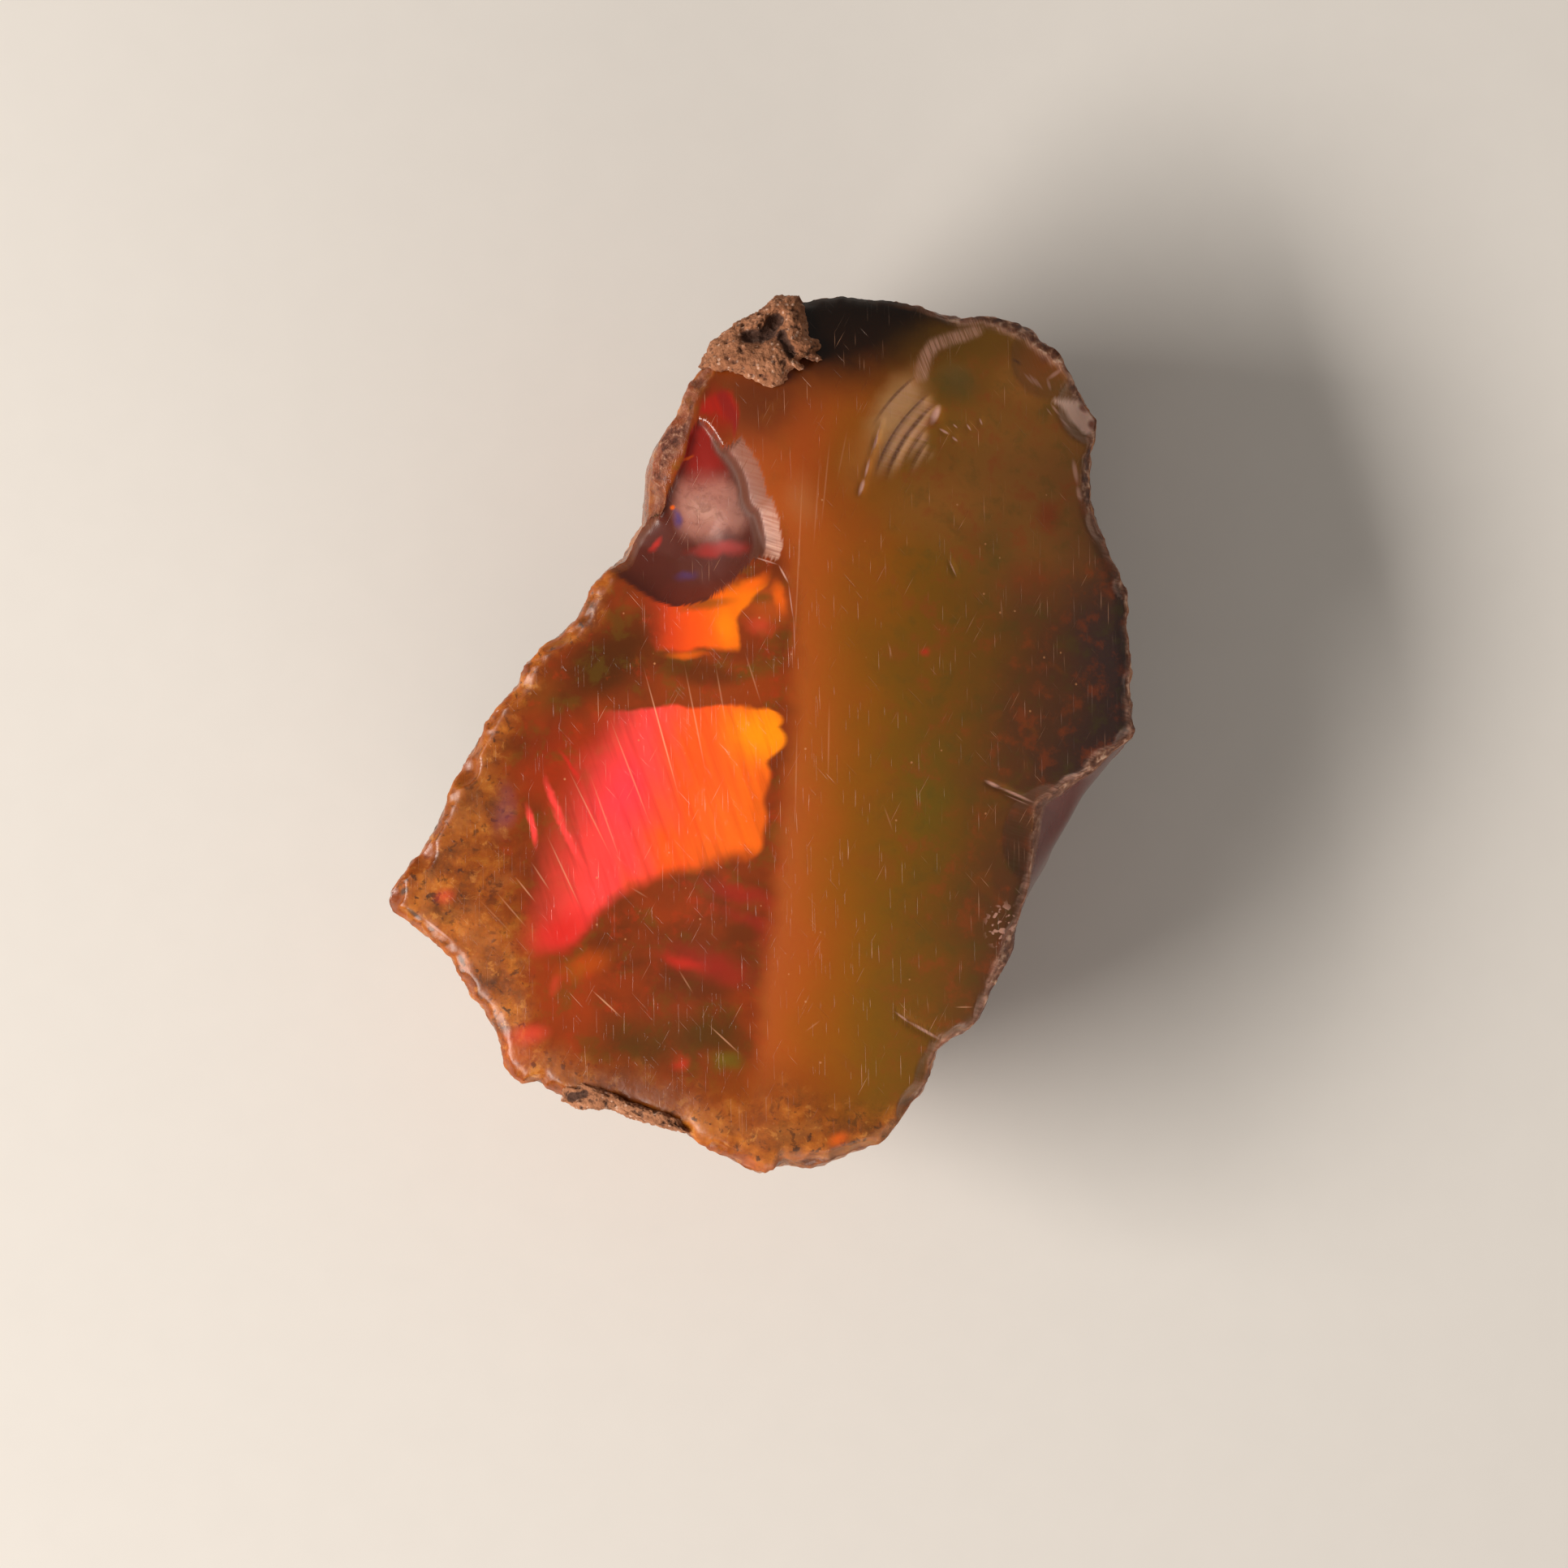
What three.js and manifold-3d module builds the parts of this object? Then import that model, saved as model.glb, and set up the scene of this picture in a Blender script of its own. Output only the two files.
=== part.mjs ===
// A rough Ethiopian opal: one broken lump of precious opal with two remnants of its host rock on the rim.
// Millimetres, +Z up. The lump lies on a flat break with its broad fracture face up.
// The origin is on the surface it lies on, under the middle of its outline; +Y runs to the end with the rock cap.
import * as THREE from 'three';
import { mergeVertices } from 'three/addons/utils/BufferGeometryUtils.js';
import Module from 'manifold-3d';

const wasm = await Module();
wasm.setup();

// Driving dimensions
const CREST_HEIGHT = 9.2; // from the resting surface to the crest between the two broad faces
const GIRTH_DROP = 0.9; // the lump is widest this far under the rim of its face
const FOOT = { x: 0.5, y: 0.4, scale: 0.66, round: 2.4 }; // the resting outline, before the breaks cut it
const RIM_WEAR = 0.14; // how far the worn rim falls below the face
const WORN_WIDTH = 0.4; // width of that worn band
const ROCK_GAP = 0.06; // clearance between the opal and each piece of host rock
const FACE_CELLS = 36; // cells along each side of the face's net, which is stretched out to the rim
const WALL_RINGS = 6; // rings from the girth down to the resting surface
const WALL_EASING = 6; // rim points on each side that the foot's outline is evened out over
const HUB = [0.9, 1.0]; // the middle of the net, on the crest

// The rim of the broad face, seen from above, anticlockwise from its right-hand corner
const RIM = [
  [9.58, 0.15], [9.44, 1], [9.52, 1.56], [9.38, 2.85], [9.4, 3.58], [9.23, 4.08], [8.92, 4.67],
  [8.62, 5.4], [8.46, 5.83], [8.42, 6.42], [8.46, 7.23], [8.6, 7.67], [8.62, 8.1], [8.4, 8.44], [8, 9.15],
  [7.75, 9.67], [7.46, 10], [7.12, 10.21], [6.96, 10.42], [6.69, 10.58], [6.35, 10.65], [5.77, 10.75],
  [5.12, 10.67], [4.6, 10.81], [3.98, 11], [3.15, 11.12], [2.1, 11.23], [1.06, 11.12], [0.35, 10.9],
  [-0.19, 10.52], [-0.71, 10.23], [-1.19, 9.81], [-1.48, 9.4], [-1.83, 9.1], [-2.06, 8.42], [-2.38, 7.88],
  [-2.6, 7.6], [-2.77, 7.25], [-2.83, 6.56], [-2.81, 5.96], [-2.85, 5.6], [-3.1, 5.25], [-3.54, 4.42],
  [-3.94, 4.19], [-4.27, 3.98], [-4.5, 3.42], [-4.75, 2.98], [-5.15, 2.6], [-5.46, 2.42], [-5.94, 1.9],
  [-6.15, 1.79], [-6.23, 1.29], [-6.73, 0.77], [-7.17, 0.19], [-7.6, -0.69], [-7.9, -1.19], [-8.27, -2.15],
  [-8.71, -2.96], [-9.44, -3.83], [-9.6, -4.25], [-9.56, -4.44], [-8.9, -4.94], [-8.29, -5.48],
  [-7.96, -5.73], [-7.67, -6.38], [-7.46, -6.75], [-6.88, -7.4], [-6.73, -7.96], [-6.69, -8.46],
  [-6.46, -8.75], [-6.21, -8.92], [-5.71, -8.88], [-5.54, -9.1], [-4.79, -9.42], [-3.83, -9.46],
  [-3.38, -9.65], [-2.52, -10.02], [-1.96, -10.23], [-1.6, -10.48], [-1, -10.81], [-0.71, -10.88],
  [-0.46, -11.12], [0.06, -11.29], [0.56, -10.88], [1.62, -10.88], [2.23, -10.77], [2.94, -10.5],
  [3.25, -10.31], [3.62, -9.73], [4.1, -9.19], [4.27, -8.9], [4.31, -8.4], [4.44, -8.1], [4.65, -7.9],
  [5.17, -7.67], [5.56, -7.27], [5.73, -7], [5.83, -6.65], [6.23, -5.94], [6.46, -5.48], [6.48, -5.12],
  [6.79, -4.06], [6.96, -2.96], [7.06, -1.77], [7.4, -1.56], [7.85, -1.29], [8.46, -0.94], [8.94, -0.46],
  [9.52, -0.1],
];

// Where the lump stands out past its rim, the girth runs along these edges, `drop` under the rim
const SHELVES = [
  { drop: 2.2, edge: [[9.42, -0.2], [8.25, -1.58], [7.4, -3.1], [6.69, -4.46], [6.2, -6.1]] },
  { drop: 1.2, edge: [[-2.5, 7.8], [-3.0, 6.9], [-3.05, 5.5]] },
  { drop: 0.5, edge: [[0.55, -11.1], [1.5, -11.15], [1.9, -10.85]] },
];

// The crest between the left and right faces is bowed, with a jog at its upper end
const CREST = { x: 0.85, bow: 0.009, bowY: 2.5, jog: 1.3, jogFrom: 4.6, jogTo: 7.6, round: 0.6 };
const LEFT_FACE = { fall: 0.3, hollow: 0.008 };
const RIGHT_FACE = { fall: 0.04, swell: 0.024 };
const LENGTHWAYS_SWELL = 0.006;
const TOP_ROLL = { y: 9.4, rise: 0.25, x: 1.0, fall: 0.5, round: 0.8 };

// Wide, smooth hollows of the face
const DISHES = [
  { x: 6.9, y: 5.4, radius: 4.2, depth: 0.28 },
  { x: -3.6, y: -1.8, radius: 3.6, depth: 0.22 },
  { x: 3.6, y: -5.2, radius: 3.4, depth: -0.16 },
];

// Shell-shaped breaks with a sharp edge: plan radius, depth, and degrees that they lean out over the rim
const CHIPS = [
  { x: 8.35, y: 8.25, radius: 1.0, depth: 0.3, lean: 32 },
  { x: 7.1, y: 9.3, radius: 0.95, depth: 0.12, lean: 8 },
  { x: 8.75, y: 6.3, radius: 0.85, depth: 0.22, lean: 40 },
  { x: 9.65, y: 3.9, radius: 0.75, depth: 0.22, lean: 45 },
  { x: 9.5, y: 1.2, radius: 0.6, depth: 0.15, lean: 45 },
  { x: 6.9, y: -2.3, radius: 1.25, depth: 0.2, lean: 12 },
  { x: 6.7, y: -4.9, radius: 0.9, depth: 0.2, lean: 35 },
  { x: 4.75, y: -8.3, radius: 0.95, depth: 0.22, lean: 20 },
  { x: 2.2, y: -10.9, radius: 0.8, depth: 0.2, lean: 30 },
  { x: -0.3, y: -11.2, radius: 0.7, depth: 0.2, lean: 40 },
  { x: -6.6, y: -8.8, radius: 0.85, depth: 0.2, lean: 30 },
  { x: -9.0, y: -4.9, radius: 0.6, depth: 0.14, lean: 40 },
  { x: -6.1, y: 1.9, radius: 0.6, depth: 0.14, lean: 35 },
  { x: -4.4, y: 4.1, radius: 0.7, depth: 0.16, lean: 35 },
];

// The deep scar at the upper left: a shell-shaped hollow closed on its right by a bevelled, steep ledge
const SCAR = { x: -2.08, y: 6.02, radius: 2.75, depth: 0.6, lean: 0 };
const LEDGE = { x: -2.44, y: 5.27, radius: 2.92, bevel: 0.5, bevelDrop: 0.22, wall: 0.24, wallDrop: 1.2 };

// Hollow breaks of the underside. Each meets the resting plane at `foot` and its upper edge at `reach`
const FLANKS = [
  { azimuth: 8, foot: 5.3, reach: 10.1, lip: 5.4, radius: 15 },
  { azimuth: 55, foot: 7.4, reach: 12.6, lip: 4.4, radius: 24 },
  { azimuth: 101, foot: 5.6, reach: 11.0, lip: 5.5, radius: 18 },
  { azimuth: 158, foot: 2.2, reach: 5.7, lip: 4.9, radius: 13 },
  { azimuth: 318, foot: 4.4, reach: 8.3, lip: 3.6, radius: 30 },
  { azimuth: 250, foot: 6.4, reach: 10.4, lip: 2.9, radius: 26 },
];

// Knobs of the natural skin on the walls: waves round the lump, waves down the wall, height, start
const SKIN_KNOBS = [
  { around: 13, down: 5, height: 0.11, start: 0.4 },
  { around: 21, down: -9, height: 0.07, start: 1.9 },
];

// Host rock left on the opal, by its outline as seen from above, with pits in its top
const ROCKS = [
  {
    name: 'host_rock_cap', above: 0.5, below: 2.0,
    outline: [
      [-1.58, 9.35], [-1.06, 9.25], [-0.56, 9.15], [-0.06, 9], [0.35, 8.92], [0.73, 9.17], [1.06, 9.23],
      [1.02, 9.54], [1.33, 9.52], [1.58, 9.62], [1.46, 10.02], [1.21, 10.23], [1.17, 10.73], [0.94, 11.27],
      [0.35, 11.27], [-0.21, 10.83], [-0.73, 10.54], [-1.33, 10.02],
    ],
    pits: [
      { x: -0.1, y: 10.16, radius: 0.28, depth: 0.26 },
      { x: 0.34, y: 10.5, radius: 0.26, depth: 0.28 },
      { x: 0.71, y: 9.9, radius: 0.22, depth: 0.2 },
    ],
  },
  {
    name: 'host_rock_seam', above: 0.3, below: 0.9,
    outline: [
      [-5.15, -9.4], [-4.79, -9.6], [-3.83, -9.62], [-3.38, -9.83], [-2.52, -10.1], [-1.9, -10.19],
      [-2.02, -9.85], [-2.52, -9.65], [-3.02, -9.52], [-3.52, -9.35], [-3.94, -9.1], [-4.65, -8.92],
      [-5.1, -9.06],
    ],
    pits: [{ x: -4.75, y: -9.25, radius: 0.16, depth: 0.14 }],
  },
];
const ROCK_LEVELS = 11;
const ROCK_SPACING = 3; // points on each stretch of a rock's outline
const ROCK_BED = 0.12; // the rocks are widest this far under the opal's face
const ROCK_FULLNESS = 0.55; // below 1, the lumps are fuller than a ball

const OPAL = new THREE.MeshStandardMaterial({ color: 0xa3500f, roughness: 0.22, metalness: 0 });
const HOST_ROCK = new THREE.MeshStandardMaterial({ color: 0xb98665, roughness: 0.95, metalness: 0 });

const degrees = THREE.MathUtils.degToRad;
const smoothstep = THREE.MathUtils.smoothstep;

// The lesser of two heights, with the crease between them rounded
function roundedMin(a, b, round) {
  const share = Math.max(round - Math.abs(a - b), 0) / round;
  return Math.min(a, b) - (share * share * round) / 4;
}

// Height of the broad face over the resting surface, before any chip
function faceHeight(x, y) {
  const jog = CREST.jog * smoothstep(y, CREST.jogFrom, CREST.jogTo);
  const left = CREST.x - CREST.bow * (y - CREST.bowY) ** 2 - jog - x;
  const leftFace = CREST_HEIGHT - LEFT_FACE.fall * left + LEFT_FACE.hollow * left * left;
  const rightFace = CREST_HEIGHT + RIGHT_FACE.fall * left - RIGHT_FACE.swell * Math.min(left, 0) ** 2;
  const swell = LENGTHWAYS_SWELL * y * y;
  const rollY = TOP_ROLL.y + TOP_ROLL.rise * (x - TOP_ROLL.x);
  const roll = CREST_HEIGHT - swell - TOP_ROLL.fall * (y - rollY);
  const dish = DISHES.reduce((sum, { x: dishX, y: dishY, radius, depth }) => (
    sum + depth * Math.exp(-((x - dishX) ** 2 + (y - dishY) ** 2) / (radius * radius))), 0);
  return roundedMin(roundedMin(leftFace, rightFace, CREST.round) - swell, roll, TOP_ROLL.round) - dish;
}

// The outward direction of the face at a point
function faceNormal(x, y) {
  const step = 0.05;
  const slopeX = (faceHeight(x + step, y) - faceHeight(x - step, y)) / (2 * step);
  const slopeY = (faceHeight(x, y + step) - faceHeight(x, y - step)) / (2 * step);
  return new THREE.Vector3(-slopeX, -slopeY, 1).normalize();
}

// The girth under a rim point: the point of a shelf's edge on the same line from the hub, or the rim point itself
function girthUnder(rimPoint) {
  const hub = new THREE.Vector2(...HUB);
  const out = new THREE.Vector2(...rimPoint).sub(hub);
  let scale = 1;
  let drop = GIRTH_DROP;
  for (const shelf of SHELVES) {
    for (let i = 1; i < shelf.edge.length; i++) {
      const start = new THREE.Vector2(...shelf.edge[i - 1]).sub(hub);
      const side = new THREE.Vector2(...shelf.edge[i]).sub(hub).sub(start);
      const cross = out.cross(side);
      const along = start.cross(out) / cross;
      const reach = start.cross(side) / cross;
      if (along >= 0 && along <= 1 && reach > scale) {
        scale = reach;
        drop = shelf.drop;
      }
    }
  }
  return { x: HUB[0] + out.x * scale, y: HUB[1] + out.y * scale, drop };
}

// The mean of the girth's points round one of them
function evenedOut(girth, step) {
  const sum = new THREE.Vector2();
  for (let near = -WALL_EASING; near <= WALL_EASING; near++) {
    sum.add(girth[(step + near + girth.length) % girth.length]);
  }
  return sum.divideScalar(2 * WALL_EASING + 1);
}

// How far the skin's knobs stand out, from the angle round the lump and the share of the way down its wall
function skinKnobs(angle, down) {
  return SKIN_KNOBS.reduce((sum, knob) => (
    sum + knob.height * Math.sin(knob.around * angle + knob.down * down + knob.start)), 0);
}

function geometryOf(points, faces) {
  const geometry = new THREE.BufferGeometry();
  geometry.setAttribute('position', new THREE.Float32BufferAttribute(points.flat(), 3));
  geometry.setIndex(faces.flat());
  return geometry;
}

// The two triangles between each pair of neighbours in an upper and a lower ring of point numbers
function band(upper, lower) {
  return upper.flatMap((here, step) => {
    const next = (step + 1) % upper.length;
    return [[here, lower[step], lower[next]], [here, lower[next], upper[next]]];
  });
}

// The triangles from a point to each pair of neighbours in a ring of point numbers
function fan(pole, ring) {
  return ring.map((here, step) => [pole, here, ring[(step + 1) % ring.length]]);
}

// Adds a ring of points and gives their numbers
function addRing(points, ring) {
  const first = points.length;
  points.push(...ring);
  return ring.map((_, step) => first + step);
}

// How far round the net's square outline the line from its middle through (a, b) points, from 0 to 1
function turnThrough(a, b) {
  const reach = Math.max(Math.abs(a), Math.abs(b));
  if (reach === 0) return 0;
  if (a === reach) return (1 + b / reach / 8) % 1;
  if (b === reach) return (2 - a / reach) / 8;
  if (a === -reach) return (4 - b / reach) / 8;
  return (6 + a / reach) / 8;
}

function solidFrom(geometry) {
  const bare = geometry.clone();
  bare.deleteAttribute('normal');
  bare.deleteAttribute('uv');
  const merged = mergeVertices(bare, 1e-4);
  const mesh = new wasm.Mesh({
    numProp: 3,
    vertProperties: merged.attributes.position.array,
    triVerts: new Uint32Array(merged.index.array),
  });
  return new wasm.Manifold(mesh);
}

function geometryFrom(solid) {
  const mesh = solid.getMesh();
  const geometry = new THREE.BufferGeometry();
  geometry.setAttribute('position', new THREE.BufferAttribute(new Float32Array(mesh.vertProperties), 3));
  geometry.setIndex(new THREE.BufferAttribute(new Uint32Array(mesh.triVerts), 1));
  return geometry;
}

// The lump before anything is broken off it: the broad face over walls that curve in to the resting surface
function unbrokenLump() {
  const outline = new THREE.Shape(RIM.map((point) => new THREE.Vector2(...point)));
  outline.closePath();
  const rim = outline.getSpacedPoints(4 * FACE_CELLS).slice(0, -1);
  const hub = new THREE.Vector2(...HUB);
  const points = [];
  const rimNumbers = [];
  for (let row = 0; row <= FACE_CELLS; row++) {
    for (let column = 0; column <= FACE_CELLS; column++) {
      const a = (2 * column) / FACE_CELLS - 1;
      const b = (2 * row) / FACE_CELLS - 1;
      const share = Math.max(Math.abs(a), Math.abs(b));
      const place = turnThrough(a, b) * rim.length;
      const before = Math.floor(place + 1e-9);
      const onRim = rim[before % rim.length].clone().lerp(rim[(before + 1) % rim.length], place - before);
      const at = hub.clone().lerp(onRim, share);
      const wear = RIM_WEAR * Math.max(0, 1 - at.distanceTo(onRim) / WORN_WIDTH) ** 2;
      if (share === 1) rimNumbers[before % rim.length] = points.length;
      points.push([at.x, at.y, faceHeight(at.x, at.y) - wear]);
    }
  }
  const faces = [];
  for (let row = 0; row < FACE_CELLS; row++) {
    for (let column = 0; column < FACE_CELLS; column++) {
      const near = row * (FACE_CELLS + 1) + column;
      const far = near + FACE_CELLS + 1;
      faces.push([near, near + 1, far + 1], [near, far + 1, far]);
    }
  }
  const girth = rim.map(girthUnder);
  const eased = girth.map((_, step) => evenedOut(girth, step));
  const girthHeights = girth.map(({ drop }, step) => points[rimNumbers[step]][2] - drop);
  let above = rimNumbers;
  for (let level = 0; level <= WALL_RINGS; level++) {
    const down = level / WALL_RINGS;
    const scale = 1 - (1 - FOOT.scale) * down ** FOOT.round;
    const ring = addRing(points, girth.map(({ x, y }, step) => {
      const out = new THREE.Vector2(x, y).lerp(eased[step], Math.min(1, 2 * down));
      out.sub(new THREE.Vector2(FOOT.x, FOOT.y));
      const knobs = skinKnobs(out.angle(), down) * Math.sin(Math.PI * down);
      out.setLength(out.length() * scale + knobs);
      return [FOOT.x + out.x, FOOT.y + out.y, girthHeights[step] * (1 - down)];
    }));
    faces.push(...band(above, ring));
    above = ring;
  }
  points.push([FOOT.x, FOOT.y, 0]);
  faces.push(...fan(points.length - 1, above.toReversed()));
  return solidFrom(geometryOf(points, faces));
}

// The ball that leaves a shell-shaped hollow of a given plan radius and depth in the face
function chipBall({ x, y, radius, depth, lean }) {
  const ballRadius = (radius * radius + depth * depth) / (2 * depth);
  const outward = new THREE.Vector3(x - HUB[0], y - HUB[1], 0).normalize();
  const toBall = faceNormal(x, y).multiplyScalar(Math.cos(degrees(lean)));
  toBall.addScaledVector(outward, Math.sin(degrees(lean))).setLength(ballRadius - depth);
  const ball = new THREE.SphereGeometry(ballRadius, 48, 32);
  ball.translate(x + toBall.x, y + toBall.y, faceHeight(x, y) + toBall.z);
  return solidFrom(ball);
}

// What leaves the deep scar: its ball inside the turned shape of the ledge
function scarTool() {
  const { x, y, radius, bevel, bevelDrop, wall, wallDrop } = LEDGE;
  const lift = 1;
  const profile = [
    [0, -bevelDrop - wallDrop],
    [radius - bevel - wall, -bevelDrop - wallDrop],
    [radius - bevel, -bevelDrop],
    [radius, 0],
    [radius + bevel, lift],
    [0, lift],
  ];
  const turned = new THREE.LatheGeometry(profile.map((point) => new THREE.Vector2(...point)), 72);
  turned.rotateX(Math.PI / 2);
  turned.translate(x, y, faceHeight(x + radius, y));
  return solidFrom(turned).intersect(chipBall(SCAR));
}

// The ball whose surface is one hollow break of the underside
function flankBall({ azimuth, foot, reach, lip, radius }) {
  const chord = Math.hypot(reach - foot, lip);
  const standOff = Math.sqrt(radius * radius - (chord * chord) / 4);
  const outward = (foot + reach) / 2 + (lip / chord) * standOff;
  const up = lip / 2 - ((reach - foot) / chord) * standOff;
  const ball = new THREE.SphereGeometry(radius, 96, 64);
  ball.translate(outward, 0, up);
  ball.rotateZ(degrees(azimuth));
  return solidFrom(ball);
}

// A lump of host rock, larger all over by `margin`
function rockLump({ outline, above, below, pits }, margin = 0) {
  const shape = new THREE.Shape(outline.map((point) => new THREE.Vector2(...point)));
  shape.closePath();
  const around = shape.getSpacedPoints(outline.length * ROCK_SPACING).slice(1);
  const middle = around.reduce((sum, point) => sum.add(point), new THREE.Vector2()).divideScalar(around.length);
  const rise = above + ROCK_BED + margin;
  const fall = below - ROCK_BED + margin;
  const dipAt = (x, y) => pits.reduce((sum, pit) => (
    sum + pit.depth * Math.exp(-((x - pit.x) ** 2 + (y - pit.y) ** 2) / (pit.radius * pit.radius))), 0);
  const bedAt = (x, y) => faceHeight(x, y) - ROCK_BED;
  const points = [[middle.x, middle.y, bedAt(middle.x, middle.y) + rise - dipAt(middle.x, middle.y)]];
  const faces = [];
  let ringAbove = null;
  for (let level = 1; level < ROCK_LEVELS; level++) {
    const tilt = (level / ROCK_LEVELS) * Math.PI;
    const width = Math.sin(tilt) ** ROCK_FULLNESS;
    const up = Math.cos(tilt) * (Math.cos(tilt) > 0 ? rise : fall);
    const ring = addRing(points, around.map((point) => {
      const out = point.clone().sub(middle);
      out.setLength(width * (out.length() + margin)).add(middle);
      const dip = level * 2 < ROCK_LEVELS ? dipAt(out.x, out.y) : 0;
      return [out.x, out.y, bedAt(out.x, out.y) + up - dip];
    }));
    faces.push(...(ringAbove ? band(ringAbove, ring) : fan(0, ring)));
    ringAbove = ring;
  }
  points.push([middle.x, middle.y, bedAt(middle.x, middle.y) - fall]);
  faces.push(...fan(points.length - 1, ringAbove.toReversed()));
  return solidFrom(geometryOf(points, faces));
}

function named(name, geometry, material) {
  const mesh = new THREE.Mesh(geometry, material);
  mesh.name = name;
  return mesh;
}

const lump = new THREE.Group();
let opal = unbrokenLump().subtract(scarTool());
for (const chip of CHIPS) opal = opal.subtract(chipBall(chip));
for (const flank of FLANKS) opal = opal.subtract(flankBall(flank));
for (const rock of ROCKS) {
  opal = opal.subtract(rockLump(rock, ROCK_GAP));
  lump.add(named(rock.name, geometryFrom(rockLump(rock)), HOST_ROCK));
}
lump.add(named('opal_body', geometryFrom(opal), OPAL));

export default lump;
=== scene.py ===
import math
import random

import bpy
import numpy as np
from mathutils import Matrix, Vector, noise


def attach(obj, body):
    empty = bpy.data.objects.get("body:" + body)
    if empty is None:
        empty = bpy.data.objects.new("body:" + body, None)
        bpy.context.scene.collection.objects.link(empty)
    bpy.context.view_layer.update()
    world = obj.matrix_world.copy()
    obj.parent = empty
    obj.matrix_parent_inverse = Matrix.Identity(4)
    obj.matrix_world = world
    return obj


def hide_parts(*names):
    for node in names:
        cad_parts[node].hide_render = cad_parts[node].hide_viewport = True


# A rough Ethiopian opal and two remnants of its host rock, on a pale table.
# Shapes are worked out in millimetres, as in the part's source, and handed to Blender in metres.

bl_info = {
    "name": "Rough opal specimen",
    "version": (1, 0, 0),
    "blender": (4, 5, 0),
    "location": "3D View > Sidebar > Opal",
    "description": "Builds a rough opal, its host rock and the table it is shown on",
    "category": "Add Mesh",
}

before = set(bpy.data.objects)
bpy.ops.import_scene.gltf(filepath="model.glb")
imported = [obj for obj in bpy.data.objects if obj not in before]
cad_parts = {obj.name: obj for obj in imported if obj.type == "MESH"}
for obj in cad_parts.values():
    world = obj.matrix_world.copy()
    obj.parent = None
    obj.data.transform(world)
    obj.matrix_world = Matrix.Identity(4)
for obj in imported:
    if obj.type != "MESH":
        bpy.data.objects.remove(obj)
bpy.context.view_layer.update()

MM = 0.001


# Shape of the stone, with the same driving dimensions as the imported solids

CREST_HEIGHT = 9.2
GIRTH_DROP = 0.9
FOOT = {"x": 0.5, "y": 0.4, "scale": 0.66, "round": 2.4}
RIM_LENGTH = 66.0
RIM_WEAR = 0.14
WORN_WIDTH = 0.4
WALL_EASING = 2.7
LIP_ROUND = 1.6
HUB = np.array([0.9, 1.0])

# The rim of the broad face, seen from above, anticlockwise from its right-hand corner
RIM = [
    (9.58, 0.15), (9.44, 1), (9.52, 1.56), (9.38, 2.85), (9.4, 3.58), (9.23, 4.08), (8.92, 4.67),
    (8.62, 5.4), (8.46, 5.83), (8.42, 6.42), (8.46, 7.23), (8.6, 7.67), (8.62, 8.1), (8.4, 8.44), (8, 9.15),
    (7.75, 9.67), (7.46, 10), (7.12, 10.21), (6.96, 10.42), (6.69, 10.58), (6.35, 10.65), (5.77, 10.75),
    (5.12, 10.67), (4.6, 10.81), (3.98, 11), (3.15, 11.12), (2.1, 11.23), (1.06, 11.12), (0.35, 10.9),
    (-0.19, 10.52), (-0.71, 10.23), (-1.19, 9.81), (-1.48, 9.4), (-1.83, 9.1), (-2.06, 8.42), (-2.38, 7.88),
    (-2.6, 7.6), (-2.77, 7.25), (-2.83, 6.56), (-2.81, 5.96), (-2.85, 5.6), (-3.1, 5.25), (-3.54, 4.42),
    (-3.94, 4.19), (-4.27, 3.98), (-4.5, 3.42), (-4.75, 2.98), (-5.15, 2.6), (-5.46, 2.42), (-5.94, 1.9),
    (-6.15, 1.79), (-6.23, 1.29), (-6.73, 0.77), (-7.17, 0.19), (-7.6, -0.69), (-7.9, -1.19), (-8.27, -2.15),
    (-8.71, -2.96), (-9.44, -3.83), (-9.6, -4.25), (-9.56, -4.44), (-8.9, -4.94), (-8.29, -5.48),
    (-7.96, -5.73), (-7.67, -6.38), (-7.46, -6.75), (-6.88, -7.4), (-6.73, -7.96), (-6.69, -8.46),
    (-6.46, -8.75), (-6.21, -8.92), (-5.71, -8.88), (-5.54, -9.1), (-4.79, -9.42), (-3.83, -9.46),
    (-3.38, -9.65), (-2.52, -10.02), (-1.96, -10.23), (-1.6, -10.48), (-1, -10.81), (-0.71, -10.88),
    (-0.46, -11.12), (0.06, -11.29), (0.56, -10.88), (1.62, -10.88), (2.23, -10.77), (2.94, -10.5),
    (3.25, -10.31), (3.62, -9.73), (4.1, -9.19), (4.27, -8.9), (4.31, -8.4), (4.44, -8.1), (4.65, -7.9),
    (5.17, -7.67), (5.56, -7.27), (5.73, -7), (5.83, -6.65), (6.23, -5.94), (6.46, -5.48), (6.48, -5.12),
    (6.79, -4.06), (6.96, -2.96), (7.06, -1.77), (7.4, -1.56), (7.85, -1.29), (8.46, -0.94), (8.94, -0.46),
    (9.52, -0.1),
]

# Where the lump stands out past its rim, the girth runs along these edges, `drop` under the rim
SHELVES = [
    (2.2, [(9.42, -0.2), (8.25, -1.58), (7.4, -3.1), (6.69, -4.46), (6.2, -6.1)]),
    (1.2, [(-2.5, 7.8), (-3.0, 6.9), (-3.05, 5.5)]),
    (0.5, [(0.55, -11.1), (1.5, -11.15), (1.9, -10.85)]),
]

CREST = {"x": 0.85, "bow": 0.009, "bow_y": 2.5, "jog": 1.3, "jog_from": 4.6, "jog_to": 7.6, "round": 0.6}
LEFT_FACE = {"fall": 0.3, "hollow": 0.008}
RIGHT_FACE = {"fall": 0.04, "swell": 0.024}
LENGTHWAYS_SWELL = 0.006
TOP_ROLL = {"y": 9.4, "rise": 0.25, "x": 1.0, "fall": 0.5, "round": 0.8}

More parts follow.
